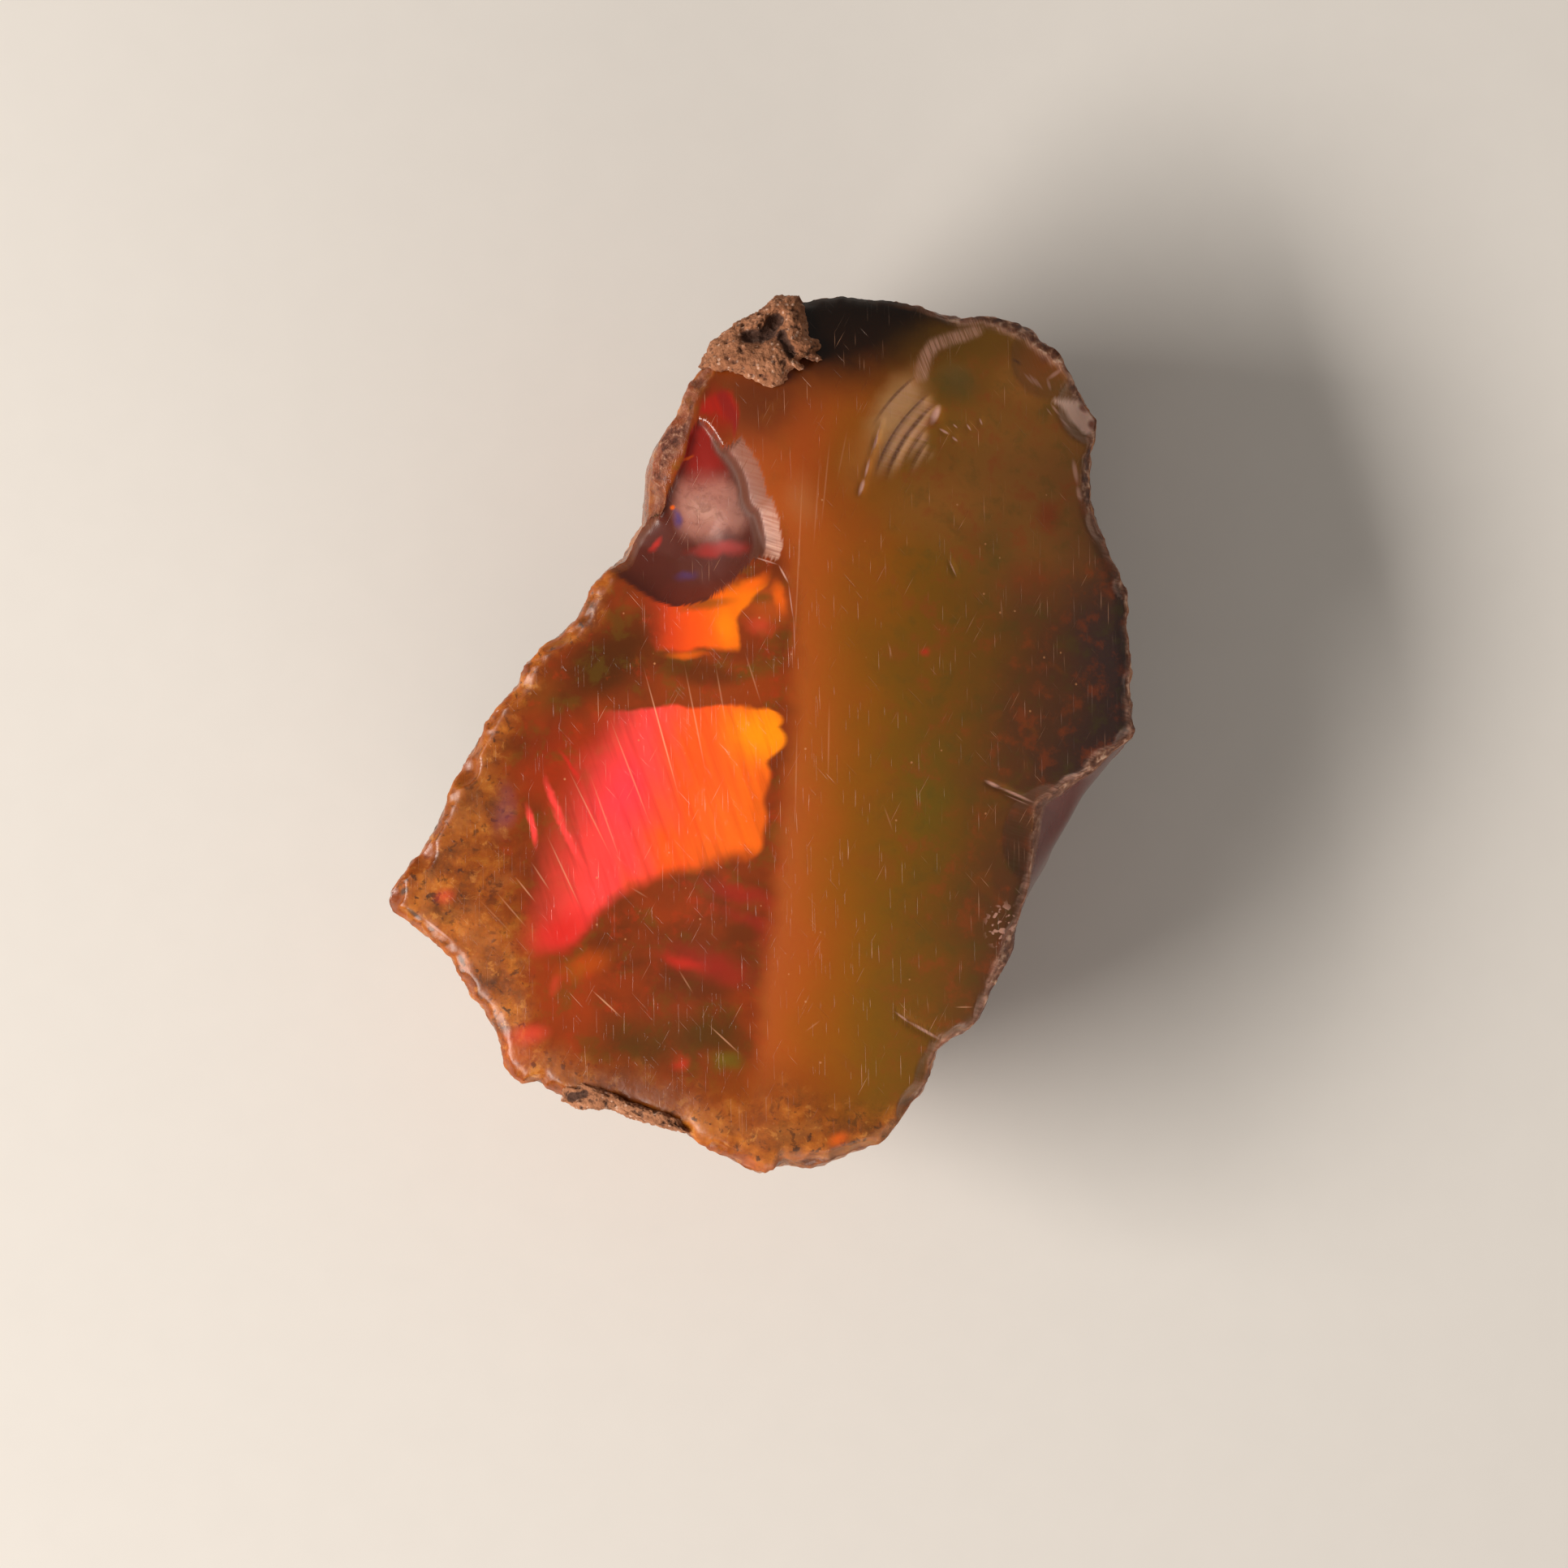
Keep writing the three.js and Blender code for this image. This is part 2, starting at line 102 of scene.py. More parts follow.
# Wide, smooth hollows of the face: x, y, radius, depth
DISHES = [(6.9, 5.4, 4.2, 0.28), (-3.6, -1.8, 3.6, 0.22), (3.6, -5.2, 3.4, -0.16)]

# Shell-shaped breaks with a sharp edge: x, y, plan radius, depth, degrees of lean out over the rim, frost
CHIPS = [
    (8.35, 8.25, 1.0, 0.3, 14, 0.25), (7.1, 9.3, 0.95, 0.12, 8, 0.06), (8.75, 6.3, 0.85, 0.22, 40, 0.1),
    (9.65, 3.9, 0.75, 0.22, 45, 0.35), (9.5, 1.2, 0.6, 0.15, 45, 0.1), (6.9, -2.3, 1.25, 0.2, 12, 0.08),
    (6.7, -4.9, 0.9, 0.2, 35, 0.2), (4.75, -8.3, 0.95, 0.22, 20, 0.1), (2.2, -10.9, 0.8, 0.2, 30, 0.1),
    (-0.3, -11.2, 0.7, 0.2, 40, 0.1), (-6.6, -8.8, 0.85, 0.2, 30, 0.1), (-9.0, -4.9, 0.6, 0.14, 40, 0.1),
    (-6.1, 1.9, 0.6, 0.14, 35, 0.2), (-4.4, 4.1, 0.7, 0.16, 35, 0.2),
]

# The deep scar at the upper left, closed on its right by a bevelled, steep ledge. Its edges, seen from above
SCAR_RUN_OUT = [(0.43, 4.46), (-0.02, 4.56), (-0.2, 4.5), (-0.44, 4.23), (-0.9, 3.77), (-1.38, 3.44),
                (-1.94, 3.29), (-2.27, 3.27), (-2.69, 3.4), (-3.1, 3.65), (-3.75, 4.1)]
SCAR_PAST_RIM = [(-4.2, 4.6), (-3.6, 5.6), (-3.0, 5.5)]
SCAR_LEFT = [(-2.62, 5.7), (-2.45, 6.1), (-2.2, 6.6), (-1.98, 7.1), (-1.84, 7.7), (-1.62, 8.05)]
SCAR_BROW = [(-1.62, 8.05), (-1.4, 7.93), (-1.2, 7.66), (-1.0, 7.32), (-0.82, 7.36), (-0.58, 7.6)]
SCAR_LEDGE = [(-0.58, 7.6), (-0.3, 7.25), (-0.08, 6.87), (0.06, 6.44), (0.1, 6.1), (0.27, 6.02),
              (0.41, 5.55), (0.51, 5.0), (0.5, 4.7), (0.43, 4.46)]
# The scar also lowers the top of the wall beside it, down to this height over the resting surface
SCAR_FOOT = 4.0
SCAR_EDGE = {"depth": 0.2, "reach": 0.25, "left reach": 0.1, "slope": 0.09, "brow slope": 3.0, "round": 0.03}
SCAR_SWELLS = {"height": 0.04, "per mm": 0.9}
LEDGE_PROFILE = [(0, 0), (0.44, 0.1), (0.72, 0.5), (3, 0.85)]
# How frosted the ledge's bevel is: places along y, and the frost there. Its pale frost also paints the
# highlight on the bevel, brightest low down
BEVEL_FROST = [4.6, 5.4, 5.9, 6.5, 7.6], [1.3, 1.1, 0.6, 0.4, 0.55]
# How dull the ledge's upper bevel, the strip along the brow and the rim beside the scar are, in the rough
# dark brown that paints shade on the ledge's steep wall
SCAR_DULL = {"bevel": 0.5, "brow": 0.8, "rim": 0.7}

# Hollow breaks of the underside: azimuth, foot, reach, lip and ball radius
FLANKS = [
    (8, 5.3, 10.1, 5.4, 15), (55, 7.4, 12.6, 4.4, 24), (101, 5.6, 11.0, 5.5, 18),
    (158, 2.2, 5.7, 4.9, 13), (318, 4.4, 8.3, 3.6, 30), (250, 6.4, 10.4, 2.9, 26),
]
# Faint waves that spread in each of them from the blow, at this height and share of the way out
FLANK_WAVES = {"height": 0.035, "per mm": 3.4, "sway": 1.5, "sway per mm": 0.9, "blow at": (0.35, 7.0)}

# Upper parts of the sides that are glassy breaks: from and to in degrees, lowest height, how glassy
GLASSY_SIDES = [(-56, -2, 3.0, 1.0), (106, 133, 6.2, 0.4)]
# Their edges: sway in degrees, its lumps per millimetre, and fades in degrees and millimetres
GLASSY_EDGE = {"sway": 7, "per mm": 0.6, "fade": 6, "rise": 0.5}

# Knobs of the natural skin on the walls: waves round the lump, waves down the wall, height, start
SKIN_KNOBS = [(13, 5, 0.11, 0.4), (21, -9, 0.07, 1.9)]
# How far the rim crumbles: on bare stone, more per millimetre of skin, and lumps per millimetre
RIM_CRUMBLE = {"bare": 0.035, "skin": 0.05, "per mm": 1.7}
# Where the skin fades out, in widths from the rim, and the ragged edge that it has: share of its width and
# lumps per millimetre
SKIN_FADE = (0.4, 1.5)
SKIN_EDGE = [(0.22, 0.8), (0.16, 3.0)]
# Relief of the skin: lumps and crumbs per millimetre, and the heights of lumps, grain and crumbs
SKIN_LUMPS = {
    "per mm": 2.0, "grain per mm": 3.0, "crumbs per mm": 4.2, "lump": 0.11, "grain": 0.04, "crumb": 0.07,
}
# How much of that relief the face and the walls have, and how much more on the crust and near the rim
SKIN_DEPTH = {"face": 0.09, "wall": 1.0, "crust": 0.5, "rim": 0.4}
# Where the crumbly crust is: its fade along y and along x
CRUST_AT = {"y": (4.9, 5.8), "x": (-1.2, 0)}
# Faint swells of the broad face
FACE_SWELLS = {"height": 0.006, "per mm": 0.45}

# Width of the stained natural skin that shows inside the rim, at places round it: x, y, width
SKIN_WIDTHS = [
    (9.5, 0.5, 0.05), (8.4, 7.0, 0.06), (6.0, 10.7, 0.08), (2.1, 11.2, 0.12), (-1.2, 9.8, 0.25),
    (-2.1, 8.4, 0.62), (-2.6, 7.6, 0.8), (-2.82, 6.2, 0.42), (-3.0, 5.4, 0.16), (-3.5, 4.6, 0.14),
    (-4.0, 4.1, 0.28), (-4.5, 3.4, 0.5), (-6.15, 1.6, 0.45), (-7.2, 0.1, 0.75), (-8.3, -2.2, 1.7),
    (-9.6, -4.3, 3.1), (-7.9, -5.8, 1.9), (-6.7, -8.2, 1.2),
    (-5.5, -9.1, 0.9), (-2.5, -10.0, 0.9), (0.1, -11.2, 1.8), (2.3, -10.7, 1.25), (3.7, -9.7, 0.25),
    (5.2, -7.6, 0.05), (7.0, -2.9, 0.05),
]

# Width of the crumbly strip chipped off the right-hand rim, at places round it: x, y, width
STRIP_WIDTHS = [
    (9.52, 1.56, 0.1), (9.38, 3.0, 0.08), (9.23, 4.08, 0.12), (8.62, 5.4, 0.05), (8.46, 5.83, 0.08),
    (8.42, 6.42, 0.3), (8.46, 7.23, 0.3), (8.62, 8.1, 0.12), (8.0, 9.15, 0.12), (7.12, 10.21, 0.3),
    (6.35, 10.65, 0.3), (5.12, 10.67, 0.12), (3.98, 11.0, 0.0), (3.62, -9.73, 0.05), (4.44, -8.1, 0.08),
    (5.56, -7.27, 0.06), (5.83, -6.65, 0.12), (6.23, -5.94, 0.36), (6.48, -5.12, 0.1), (6.79, -4.06, 0.05),
    (7.06, -1.77, 0.04), (7.4, -1.56, 0.08), (8.2, -1.1, 0.22), (8.94, -0.46, 0.32), (9.52, -0.1, 0.2),
]

# Where the right part of the rim starts, and wear on the rim: at the right along the strip's inner edge, at
# the left beside the rim
RIGHT_PART = (3.4, 4.6)
RIM_FROST = {"even": 0.6, "per mm": 1.1, "line": 0.07, "left": 0.4, "left fade": (0.02, 0.09)}
STRIP_EDGE = {"sway": 0.5, "per mm": 1.2, "fade": (-0.06, 0.03)}
NEAR_RIM = (0.08, 0.5)

# Ripples that spread from a blow at the upper right. Each falls away from the blow to a steep groove:
# radius of the groove, width of the fall, from and to in degrees, depth, and how frosted the fall is
RIPPLE_CENTRE = np.array([6.96, 5.43])
RIPPLES = [
    (4.78, 0.5, 128, 152, 0.03, 0.5), (4.22, 0.5, 128, 166, 0.09, 0.75), (3.92, 0.24, 131, 165, 0.09, 0.8),
    (3.64, 0.22, 138, 157, 0.07, 0.85), (3.4, 0.16, 142, 160, 0.05, 0.6), (3.18, 0.12, 143, 153, 0.04, 0.5),
]
GROOVE = 0.07
# The crescent of fine hackles above the ripples: its line, half width and frost
HACKLE_LINE = [(4.08, 9.2), (4.17, 9.65), (4.4, 9.98), (4.75, 10.12), (5.15, 10.24), (5.5, 10.38)]
HACKLE_WIDTH = 0.24
HACKLE_FROST = 0.8

# Open cracks of the face: the ends of each, in millimetres, with half width, depth and brightness
CRACKS = [
    ((5.71, -1.19), (6.1, -1.38), 0.07, 0.05, 1.0), ((6.0, -1.33), (7.02, -1.77), 0.055, 0.06, 0.8),
    ((6.15, -1.52), (6.9, -1.84), 0.025, 0.02, 0.5), ((3.38, -7.08), (3.8, -7.4), 0.04, 0.05, 0.7),
    ((3.7, -7.32), (4.62, -7.85), 0.06, 0.06, 0.7), ((3.08, 8.08), (2.75, 7.06), 0.03, 0.04, 0.55),
    ((2.96, 7.7), (2.86, 7.3), 0.05, 0.04, 0.9), ((2.75, 7.06), (2.62, 6.55), 0.05, 0.05, 1.0),
    ((2.6, 6.5), (2.48, 6.12), 0.075, 0.05, 1.0), ((4.36, 8.0), (4.52, 8.38), 0.13, 0.06, 1.0),
    ((4.55, 7.83), (4.78, 7.7), 0.045, 0.04, 1.0), ((4.88, 7.62), (5.0, 7.52), 0.04, 0.04, 0.9),
    ((5.25, 7.95), (5.35, 7.8), 0.035, 0.04, 0.9), ((5.58, 8.1), (5.64, 7.95), 0.035, 0.04, 0.8),
    ((4.9, 7.95), (5.0, 7.86), 0.03, 0.02, 0.8), ((4.77, 4.48), (4.98, 4.02), 0.03, 0.03, 0.6),
    ((-0.23, 4.54), (0.42, 4.33), 0.03, 0.03, 0.75), ((0.42, 4.33), (0.68, 3.85), 0.035, 0.04, 0.95),
    ((0.67, 3.88), (0.8, 2.9), 0.022, 0.02, 0.75), ((0.8, 3.2), (0.84, 1.9), 0.015, 0.0, 0.5),
    ((6.72, 9.3), (7.0, 8.98), 0.05, 0.02, 0.5), ((6.85, 9.28), (7.12, 8.92), 0.05, 0.02, 0.6),
    ((6.98, 9.2), (7.22, 8.86), 0.04, 0.02, 0.5), ((7.35, 9.15), (7.7, 9.4), 0.08, 0.02, 0.55),
    ((7.33, 9.15), (7.42, 8.85), 0.06, 0.02, 0.45), ((7.42, 8.5), (7.7, 8.15), 0.05, 0.02, 0.6),
    ((7.3, 8.4), (7.45, 8.2), 0.03, 0.01, 0.4), ((7.6, 8.2), (7.95, 7.85), 0.04, 0.02, 0.5),
    ((8.45, 7.3), (8.3, 6.8), 0.05, 0.03, 0.7), ((-1.62, 8.0), (-1.02, 7.3), 0.022, 0.0, 0.5),
]

# Cells across the broad face's net, rings of points down the lip and the wall and under the stone, and
# how many small chips its rim has
NET_CELLS = 240
LIP_RINGS = 5
WALL_RINGS = 21
BASE_RINGS = 14
SMALL_CHIPS = 190
# Their place out from the rim, least and further radius and how rare the larger ones are, lean, depth as a
# share of the radius, and frost
SMALL_CHIP = {
    "out": (-0.12, 0.1), "radius": 0.16, "larger": 0.4, "rarity": 2.2, "lean": (25, 70), "depth": (0.22, 0.4),
    "frost": (0.15, 0.6),
}
# The part of the top rim that small chips leave whole
GLASSY_TOP = {"y": 10.5, "from": 0.5, "to": 4.6}
# How deep the host rock sits in the face, cells across its net, and how full its round sides are
ROCK_BED = 0.12
ROCK_CELLS = 96
ROCK_FULLNESS = 0.45
# Relief of the host rock: heights of its lumps, crumbs and pores, and how many there are per millimetre
ROCK_RELIEF = {"lump": 0.09, "crumb": 0.05, "pore": 0.12}
ROCK_PER_MM = {"edge": 2.6, "lump": 2.6, "crumb": 8.5, "pore": 5.5, "cavity": 3.5}


# Finishes. Colours are sRGB hex values, as the eye sees them


def linear(colour):
    """The linear RGBA of a tint's name or of an sRGB hex value."""
    hex_colour = TINTS.get(colour, colour)
    parts = [int(hex_colour[start:start + 2], 16) / 255 for start in (0, 2, 4)]
    return tuple([c / 12.92 if c <= 0.04045 else ((c + 0.055) / 1.055) ** 2.4 for c in parts] + [1.0])


# Tints of the stone's inside, by what shows there. Some paint light and shade: the chip's pale pink and milk
# paint reflections, fan a highlight, step shade, and night both the top end's dark colour and the shade along
# the top rim
TINTS = {
    "window": "7c310d", "window deep": "5c280b", "window warm": "98380f", "smoke": "4c2405",
    "bark": "8d390c", "ember": "a52c0e", "crimson": "8f2018", "raspberry": "98221a", "wine": "982410",
    "gold": "ff9206", "flash orange": "fc6f14", "flash pink": "fe4743", "hot pink": "ff3a4a",
    "flash red": "d2271f", "bright red": "b4200e", "burnt orange": "cf5a12", "orange": "f96a0c",
    "rose": "d8432c", "rust": "b24c17", "dark moss": "4a300a", "moss": "5f440f", "green": "566012",
    "violet": "6f3a5c", "blue violet": "4a3a78", "milk": "ac7264", "pale pink": "cf9c8a",
    "haze grey": "8a6256", "plum": "54231a", "step": "5c2c18", "night": "150701", "low red": "4a1004",
    "deep red": "5c1406", "scratch": "e0a27c", "speck": "c98a5c", "pale edge": "c4927c", "fan": "b98a56",
    "fan foot": "ac6a2c", "warm brown": "a0662c", "deep green": "3f3d16", "dull red": "8a2c12",
    "grey plum": "42302e", "pale haze": "86683c", "slate": "2c2522", "deep skin": "74360f",
    "deep ochre": "7c4010", "ochre": "c06a26", "bright chip": "f0c6b4", "brown end": "8c430c",
}

# Patches of colour in the window to the left of the crest, painted in this order:
# what it is, tint, centre, half sizes, turn in degrees, share of it that fades, strength
UNDER_FLASH = [
    ("amber at the lower left", "window warm", (-5.4, -6.6), (1.7, 2.4), 25, 0.9, 0.8),
    ("smoke under the upper rim", "smoke", (-3.9, 1.9), (2.3, 1.1), 40, 0.8, 0.95),
    ("ember left of the flash", "ember", (-5.1, -0.7), (1.5, 1.9), -25, 0.9, 0.55),
    ("bark above the flash", "bark", (-0.9, 1.2), (2.4, 0.95), 0, 0.6, 0.85),
    ("moss in the bark", "moss", (-0.3, 1.6), (1.0, 0.35), 5, 0.9, 0.45),
    ("moss at the left", "moss", (-5.6, 1.0), (0.7, 0.9), -35, 0.95, 0.4),
]
FLASH_PATCHES = [
    ("hot heart", "hot pink", (-3.6, -1.4), (1.4, 1.7), 20, 0.95, 0.7),
    ("gold upper corner", "gold", (0.1, 0.0), (1.5, 1.2), -8, 0.9, 0.95),
    ("burnt orange right end", "burnt orange", (0.2, -2.0), (0.9, 1.7), -5, 0.9, 0.75),
    ("burnt orange lower edge", "burnt orange", (-1.0, -3.1), (1.6, 0.5), -8, 0.9, 0.5),
    ("red upper left", "flash red", (-4.6, 0.1), (1.1, 0.9), 30, 0.95, 0.85),
]
OVER_FLASH = [
    ("deep shade above the flash", "smoke", (-1.5, 1.55), (1.5, 0.42), -6, 0.8, 0.65),
    ("violet glint at the left", "violet", (-6.7, -1.95), (0.45, 0.95), -12, 0.95, 0.7),
    ("red tongue", "flash pink", (-5.9, -2.35), (0.15, 0.72), 17, 0.8, 1.0),
    ("long red tongue", "flash pink", (-5.3, -1.8), (0.14, 1.0), 22, 0.9, 0.85),
    ("second long red tongue", "flash pink", (-4.95, -2.7), (0.12, 1.2), 30, 0.8, 0.9),
    ("third tongue", "flash red", (-4.9, -0.9), (0.1, 0.7), 26, 0.9, 0.6),
    ("red tail of the flash", "flash red", (-5.1, -5.0), (1.2, 0.75), 35, 0.95, 0.85),
    ("orange ember below", "orange", (-4.5, -5.9), (1.1, 0.5), 20, 0.98, 0.25),
    ("deep lower window", "window deep", (-1.6, -6.0), (2.6, 1.7), 12, 0.9, 0.55),
    ("brown lower window", "dark moss", (-3.2, -7.9), (2.0, 1.1), -6, 0.95, 0.8),
    ("crimson streak", "raspberry", (-0.5, -4.1), (1.9, 0.4), -16, 0.98, 0.65),
    ("second crimson streak", "raspberry", (-0.3, -4.75), (1.5, 0.3), -20, 0.98, 0.5),
    ("lower crimson streak", "raspberry", (-1.3, -5.9), (1.9, 0.6), -18, 0.98, 0.7),
    ("bright core of that streak", "flash red", (-2.0, -5.8), (0.8, 0.25), -18, 0.98, 0.5),
    ("red at the foot of the crest", "raspberry", (0.1, -5.4), (0.45, 1.2), 0, 0.95, 0.4),
    ("moss at the bottom", "dark moss", (-1.3, -7.7), (1.6, 0.95), -8, 0.9, 0.85),
    ("green glint", "green", (-0.92, -8.4), (0.7, 0.42), -8, 0.98, 0.6),
    ("red spot at the bottom", "flash red", (-2.05, -8.45), (0.36, 0.26), 20, 0.98, 0.5),
    ("pink patch at the lower left", "rose", (-6.15, -7.75), (0.85, 0.42), 8, 0.98, 0.85),
    ("pink fleck beside it", "rose", (-5.3, -6.4), (0.4, 0.2), 60, 0.98, 0.4),
    ("rust below the scar", "rust", (0.15, 3.3), (0.95, 0.95), 0, 0.8, 0.8),
]
UPPER_FLASH = [
    ("gold under the scar", "gold", (-0.95, 2.75), (0.45, 0.6), 0, 0.95, 0.45),
    ("green above the upper flash", "moss", (-1.4, 3.32), (1.0, 0.26), 8, 0.9, 0.7),
]
BESIDE_CREST = [
    ("orange under the upper flash", "orange", (-1.9, 2.0), (0.75, 0.16), 4, 0.9, 0.6),
    ("orange below the ledge", "orange", (-0.25, 3.85), (0.7, 0.28), 30, 0.9, 0.75),
    ("olive beside it", "moss", (0.0, 3.45), (0.45, 0.22), 10, 0.9, 0.6),
    ("orange beside the crack", "orange", (0.45, 3.5), (0.25, 0.6), 5, 0.9, 0.65),
    ("rose beside the crack", "rose", (-0.05, 2.75), (0.5, 0.4), 0, 0.95, 0.5),
]

# Patches of the hazy veil and of the top end, painted over it in this order
VEIL_PATCHES = [
    ("night under the upper rim", "night", (1.9, 11.1), (4.6, 3.0), 3, 0.6, 0.98),
    ("dusk left of the fan", "window deep", (-0.2, 8.5), (2.2, 1.6), 0, 0.9, 0.8),
    ("shade at the top right", "moss", (5.2, 9.9), (2.6, 1.2), 0, 0.9, 0.45),
    ("rust beside the scar", "rust", (1.0, 6.9), (0.9, 2.4), -6, 0.95, 0.5),
    ("warm brown of the upper right", "warm brown", (6.6, 6.6), (3.4, 4.4), 10, 0.95, 0.6),
    ("amber haze below the ripples", "fan foot", (4.5, 5.9), (2.3, 1.6), 0, 0.95, 0.5),
    ("dusty brown of the top right", "fan foot", (6.7, 9.1), (1.1, 0.9), -20, 0.9, 0.65),
    # These two paint the highlight on the ripples' falls, over their frosted hackles
    ("pale fan", "fan", (3.45, 8.1), (0.95, 1.7), -26, 0.8, 0.9),
    ("pale foot of the fan", "fan foot", (2.6, 7.0), (0.8, 1.3), -20, 0.98, 0.65),
    ("pale haze beside the scar", "fan", (1.0, 6.0), (0.6, 1.0), 10, 0.98, 0.2),
    ("pale haze above the ripples", "pale haze", (5.0, 9.1), (0.8, 0.6), -30, 0.98, 0.45),
    ("slate mark at the top right", "slate", (7.3, 9.8), (0.2, 0.34), 10, 0.95, 0.75),
    ("small slate mark beside it", "slate", (6.52, 9.55), (0.2, 0.1), -30, 0.95, 0.6),
    ("red dot in the veil", "flash red", (4.19, 2.1), (0.18, 0.18), 0, 0.98, 0.7),
    ("green shade at the top", "deep green", (4.9, 8.9), (1.2, 0.8), 0, 0.98, 0.5),
    ("green shade at the right", "deep green", (5.9, 4.9), (1.0, 1.3), 20, 0.98, 0.25),
    ("green haze in the olive", "green", (4.3, -1.6), (1.0, 2.6), 0, 0.98, 0.3),
    ("red glow at the right", "dull red", (7.35, 5.6), (0.5, 0.6), 0, 0.98, 0.6),
    ("red glow below it", "dull red", (6.9, 4.0), (1.0, 0.9), 0, 0.98, 0.3),
    ("plum at the right rim", "grey plum", (8.7, 2.4), (1.2, 2.2), 12, 0.95, 0.6),
    ("reddish end of the top right", "rust", (7.3, 9.6), (1.1, 0.8), -20, 0.95, 0.35),
    ("brown lower end", "brown end", (0.4, -9.3), (3.0, 1.5), 0, 0.9, 0.75),
]

# Patches that lie in the scar and over it, painted over the window
OVER_SCAR = [
    ("wine under the red flash", "wine", (-1.15, 8.3), (0.55, 0.9), 22, 0.7, 0.8),
    ("shade at its upper left", "window deep", (-1.45, 8.85), (0.3, 0.35), 0, 0.9, 0.7),
]
SCAR_PATCHES = [
    ("dark floor", "plum", (-2.2, 4.9), (2.9, 3.3), -25, 0.3, 0.94),
    ("crimson above", "crimson", (-1.5, 7.35), (1.1, 1.25), 20, 0.6, 0.97),
]
# The milky patch in the scar's floor is a painted reflection of soft light: its bright heart, a crimson tinge
# and a grey side
HAZE_PATCHES = [
    ("bright heart of the haze", "pale pink", (-1.5, 5.7), (0.8, 0.5), -20, 0.98, 0.7),
    ("crimson veil in the haze", "crimson", (-1.5, 6.6), (1.2, 0.5), 5, 0.98, 0.55),
    ("grey side of the haze", "haze grey", (-0.6, 5.7), (0.5, 0.9), 15, 0.98, 0.5),
]
OVER_HAZE = [
    ("crimson strip", "raspberry", (-1.1, 4.74), (1.0, 0.26), 6, 0.8, 0.95),
    ("red streaks at the rim", "flash red", (-2.7, 4.9), (0.3, 0.12), 45, 0.95, 0.6),
    ("blue violet glint", "blue violet", (-2.2, 5.55), (0.16, 0.4), 10, 0.98, 0.75),
    ("violet glint below", "blue violet", (-1.98, 4.05), (0.4, 0.2), 10, 0.98, 0.4),
    ("orange spark", "orange", (-2.3, 5.87), (0.12, 0.08), 40, 0.8, 0.8),
    ("orange spark above it", "orange", (-1.9, 7.05), (0.22, 0.06), 35, 0.9, 0.5),
]

# Patches laid last over the broad face, whatever its surface: painted shade along the top rim and at the
# upper left rim, then tints of the skin, marks and flashes; and the pale grains on the right-hand rim
SHADES = [
    # Painted shade: the top rim and the upper left rim beside the cap are darkened to near black
    ("night along the top rim", "night", (2.3, 11.6), (3.3, 1.7), 2, 0.6, 0.96),
    ("dusk at the upper left rim", "low red", (-0.6, 10.9), (1.3, 0.8), 35, 0.8, 0.8),
    ("deeper skin at the left", "deep ochre", (-7.7, -1.7), (1.3, 2.0), -25, 0.95, 0.35),
    ("brighter skin at the lower left", "ochre", (-7.4, -5.2), (1.3, 1.3), 30, 0.95, 0.35),
    ("orange skin at the lower left", "rust", (-6.2, -8.1), (0.8, 0.7), 0, 0.95, 0.6),
    ("deeper skin at the bottom", "deep skin", (-3.2, -9.1), (2.6, 0.8), -14, 0.95, 0.75),
    # Brown hollows in the chip's painted reflection
    ("brown hollow in the bright chip", "window", (8.26, 8.4), (0.2, 0.12), -40, 0.8, 0.7),
    ("brown hollow below it", "window", (8.47, 8.0), (0.13, 0.17), 0, 0.8, 0.8),
    ("slate mark at the tip", "slate", (-9.2, -4.02), (0.2, 0.12), 40, 0.8, 0.8),
    ("slate mark below the tip", "slate", (-8.95, -4.6), (0.34, 0.09), -38, 0.8, 0.8),
    ("slate mark at the lower left", "slate", (-7.72, -5.8), (0.24, 0.1), -60, 0.8, 0.7),
    ("pale line below the tip", "pale pink", (-8.35, -5.0), (0.6, 0.05), -38, 0.8, 0.7),
    ("pale patch on the right rim", "pale pink", (8.05, 6.75), (0.09, 0.42), 10, 0.8, 0.6),
    ("pale patch below it", "pale pink", (8.14, 6.2), (0.09, 0.25), 12, 0.8, 0.6),
    ("orange light at the bottom", "orange", (1.95, -10.35), (0.4, 0.25), 25, 0.9, 0.6),
    ("red glow in the skin at the lower left", "rose", (-6.0, -7.7), (0.75, 0.42), 8, 0.98, 0.6),
    ("ember in the skin near the tip", "rose", (-8.15, -4.15), (0.4, 0.3), 20, 0.98, 0.55),
]
PALE_GRAINS = (6.15, -4.9, 0.55, 0.75)

# How the edges of those below sway, and the lumps per millimetre of that
PAINTED_EDGE = {"sway": 0.05, "per mm": 4.0}
# Patches with an outline of their own: its corners, and how far its edge fades
PAINTED = {
    "red fan": ([(-1.58, 8.42), (-1.3, 8.62), (-1.05, 8.84), (-0.77, 8.73), (-0.66, 8.45), (-0.6, 8.15),
                 (-0.69, 7.56), (-0.83, 8.0), (-1.22, 8.23), (-1.58, 8.17)], 0.14),
    # The milky patch in the scar is a painted reflection of soft light on its glassy floor
    "milky haze": ([(-2.14, 6.5), (-1.5, 6.65), (-0.94, 6.6), (-0.6, 6.33), (-0.4, 5.77), (-0.33, 5.44),
                    (-0.6, 5.2), (-0.94, 5.19), (-1.27, 4.98), (-1.89, 5.06), (-2.11, 5.33),
                    (-2.25, 5.83)], 0.5),
    # The large chip at the upper right: a pale pink painted reflection of a light on its facet
    "bright chip": ([(7.44, 8.59), (7.76, 8.65), (8.15, 8.59), (8.27, 8.47), (8.55, 8.23), (8.51, 7.79),
                     (8.35, 7.73), (7.96, 8.07), (7.8, 8.31), (7.68, 8.47)], 0.12),
}

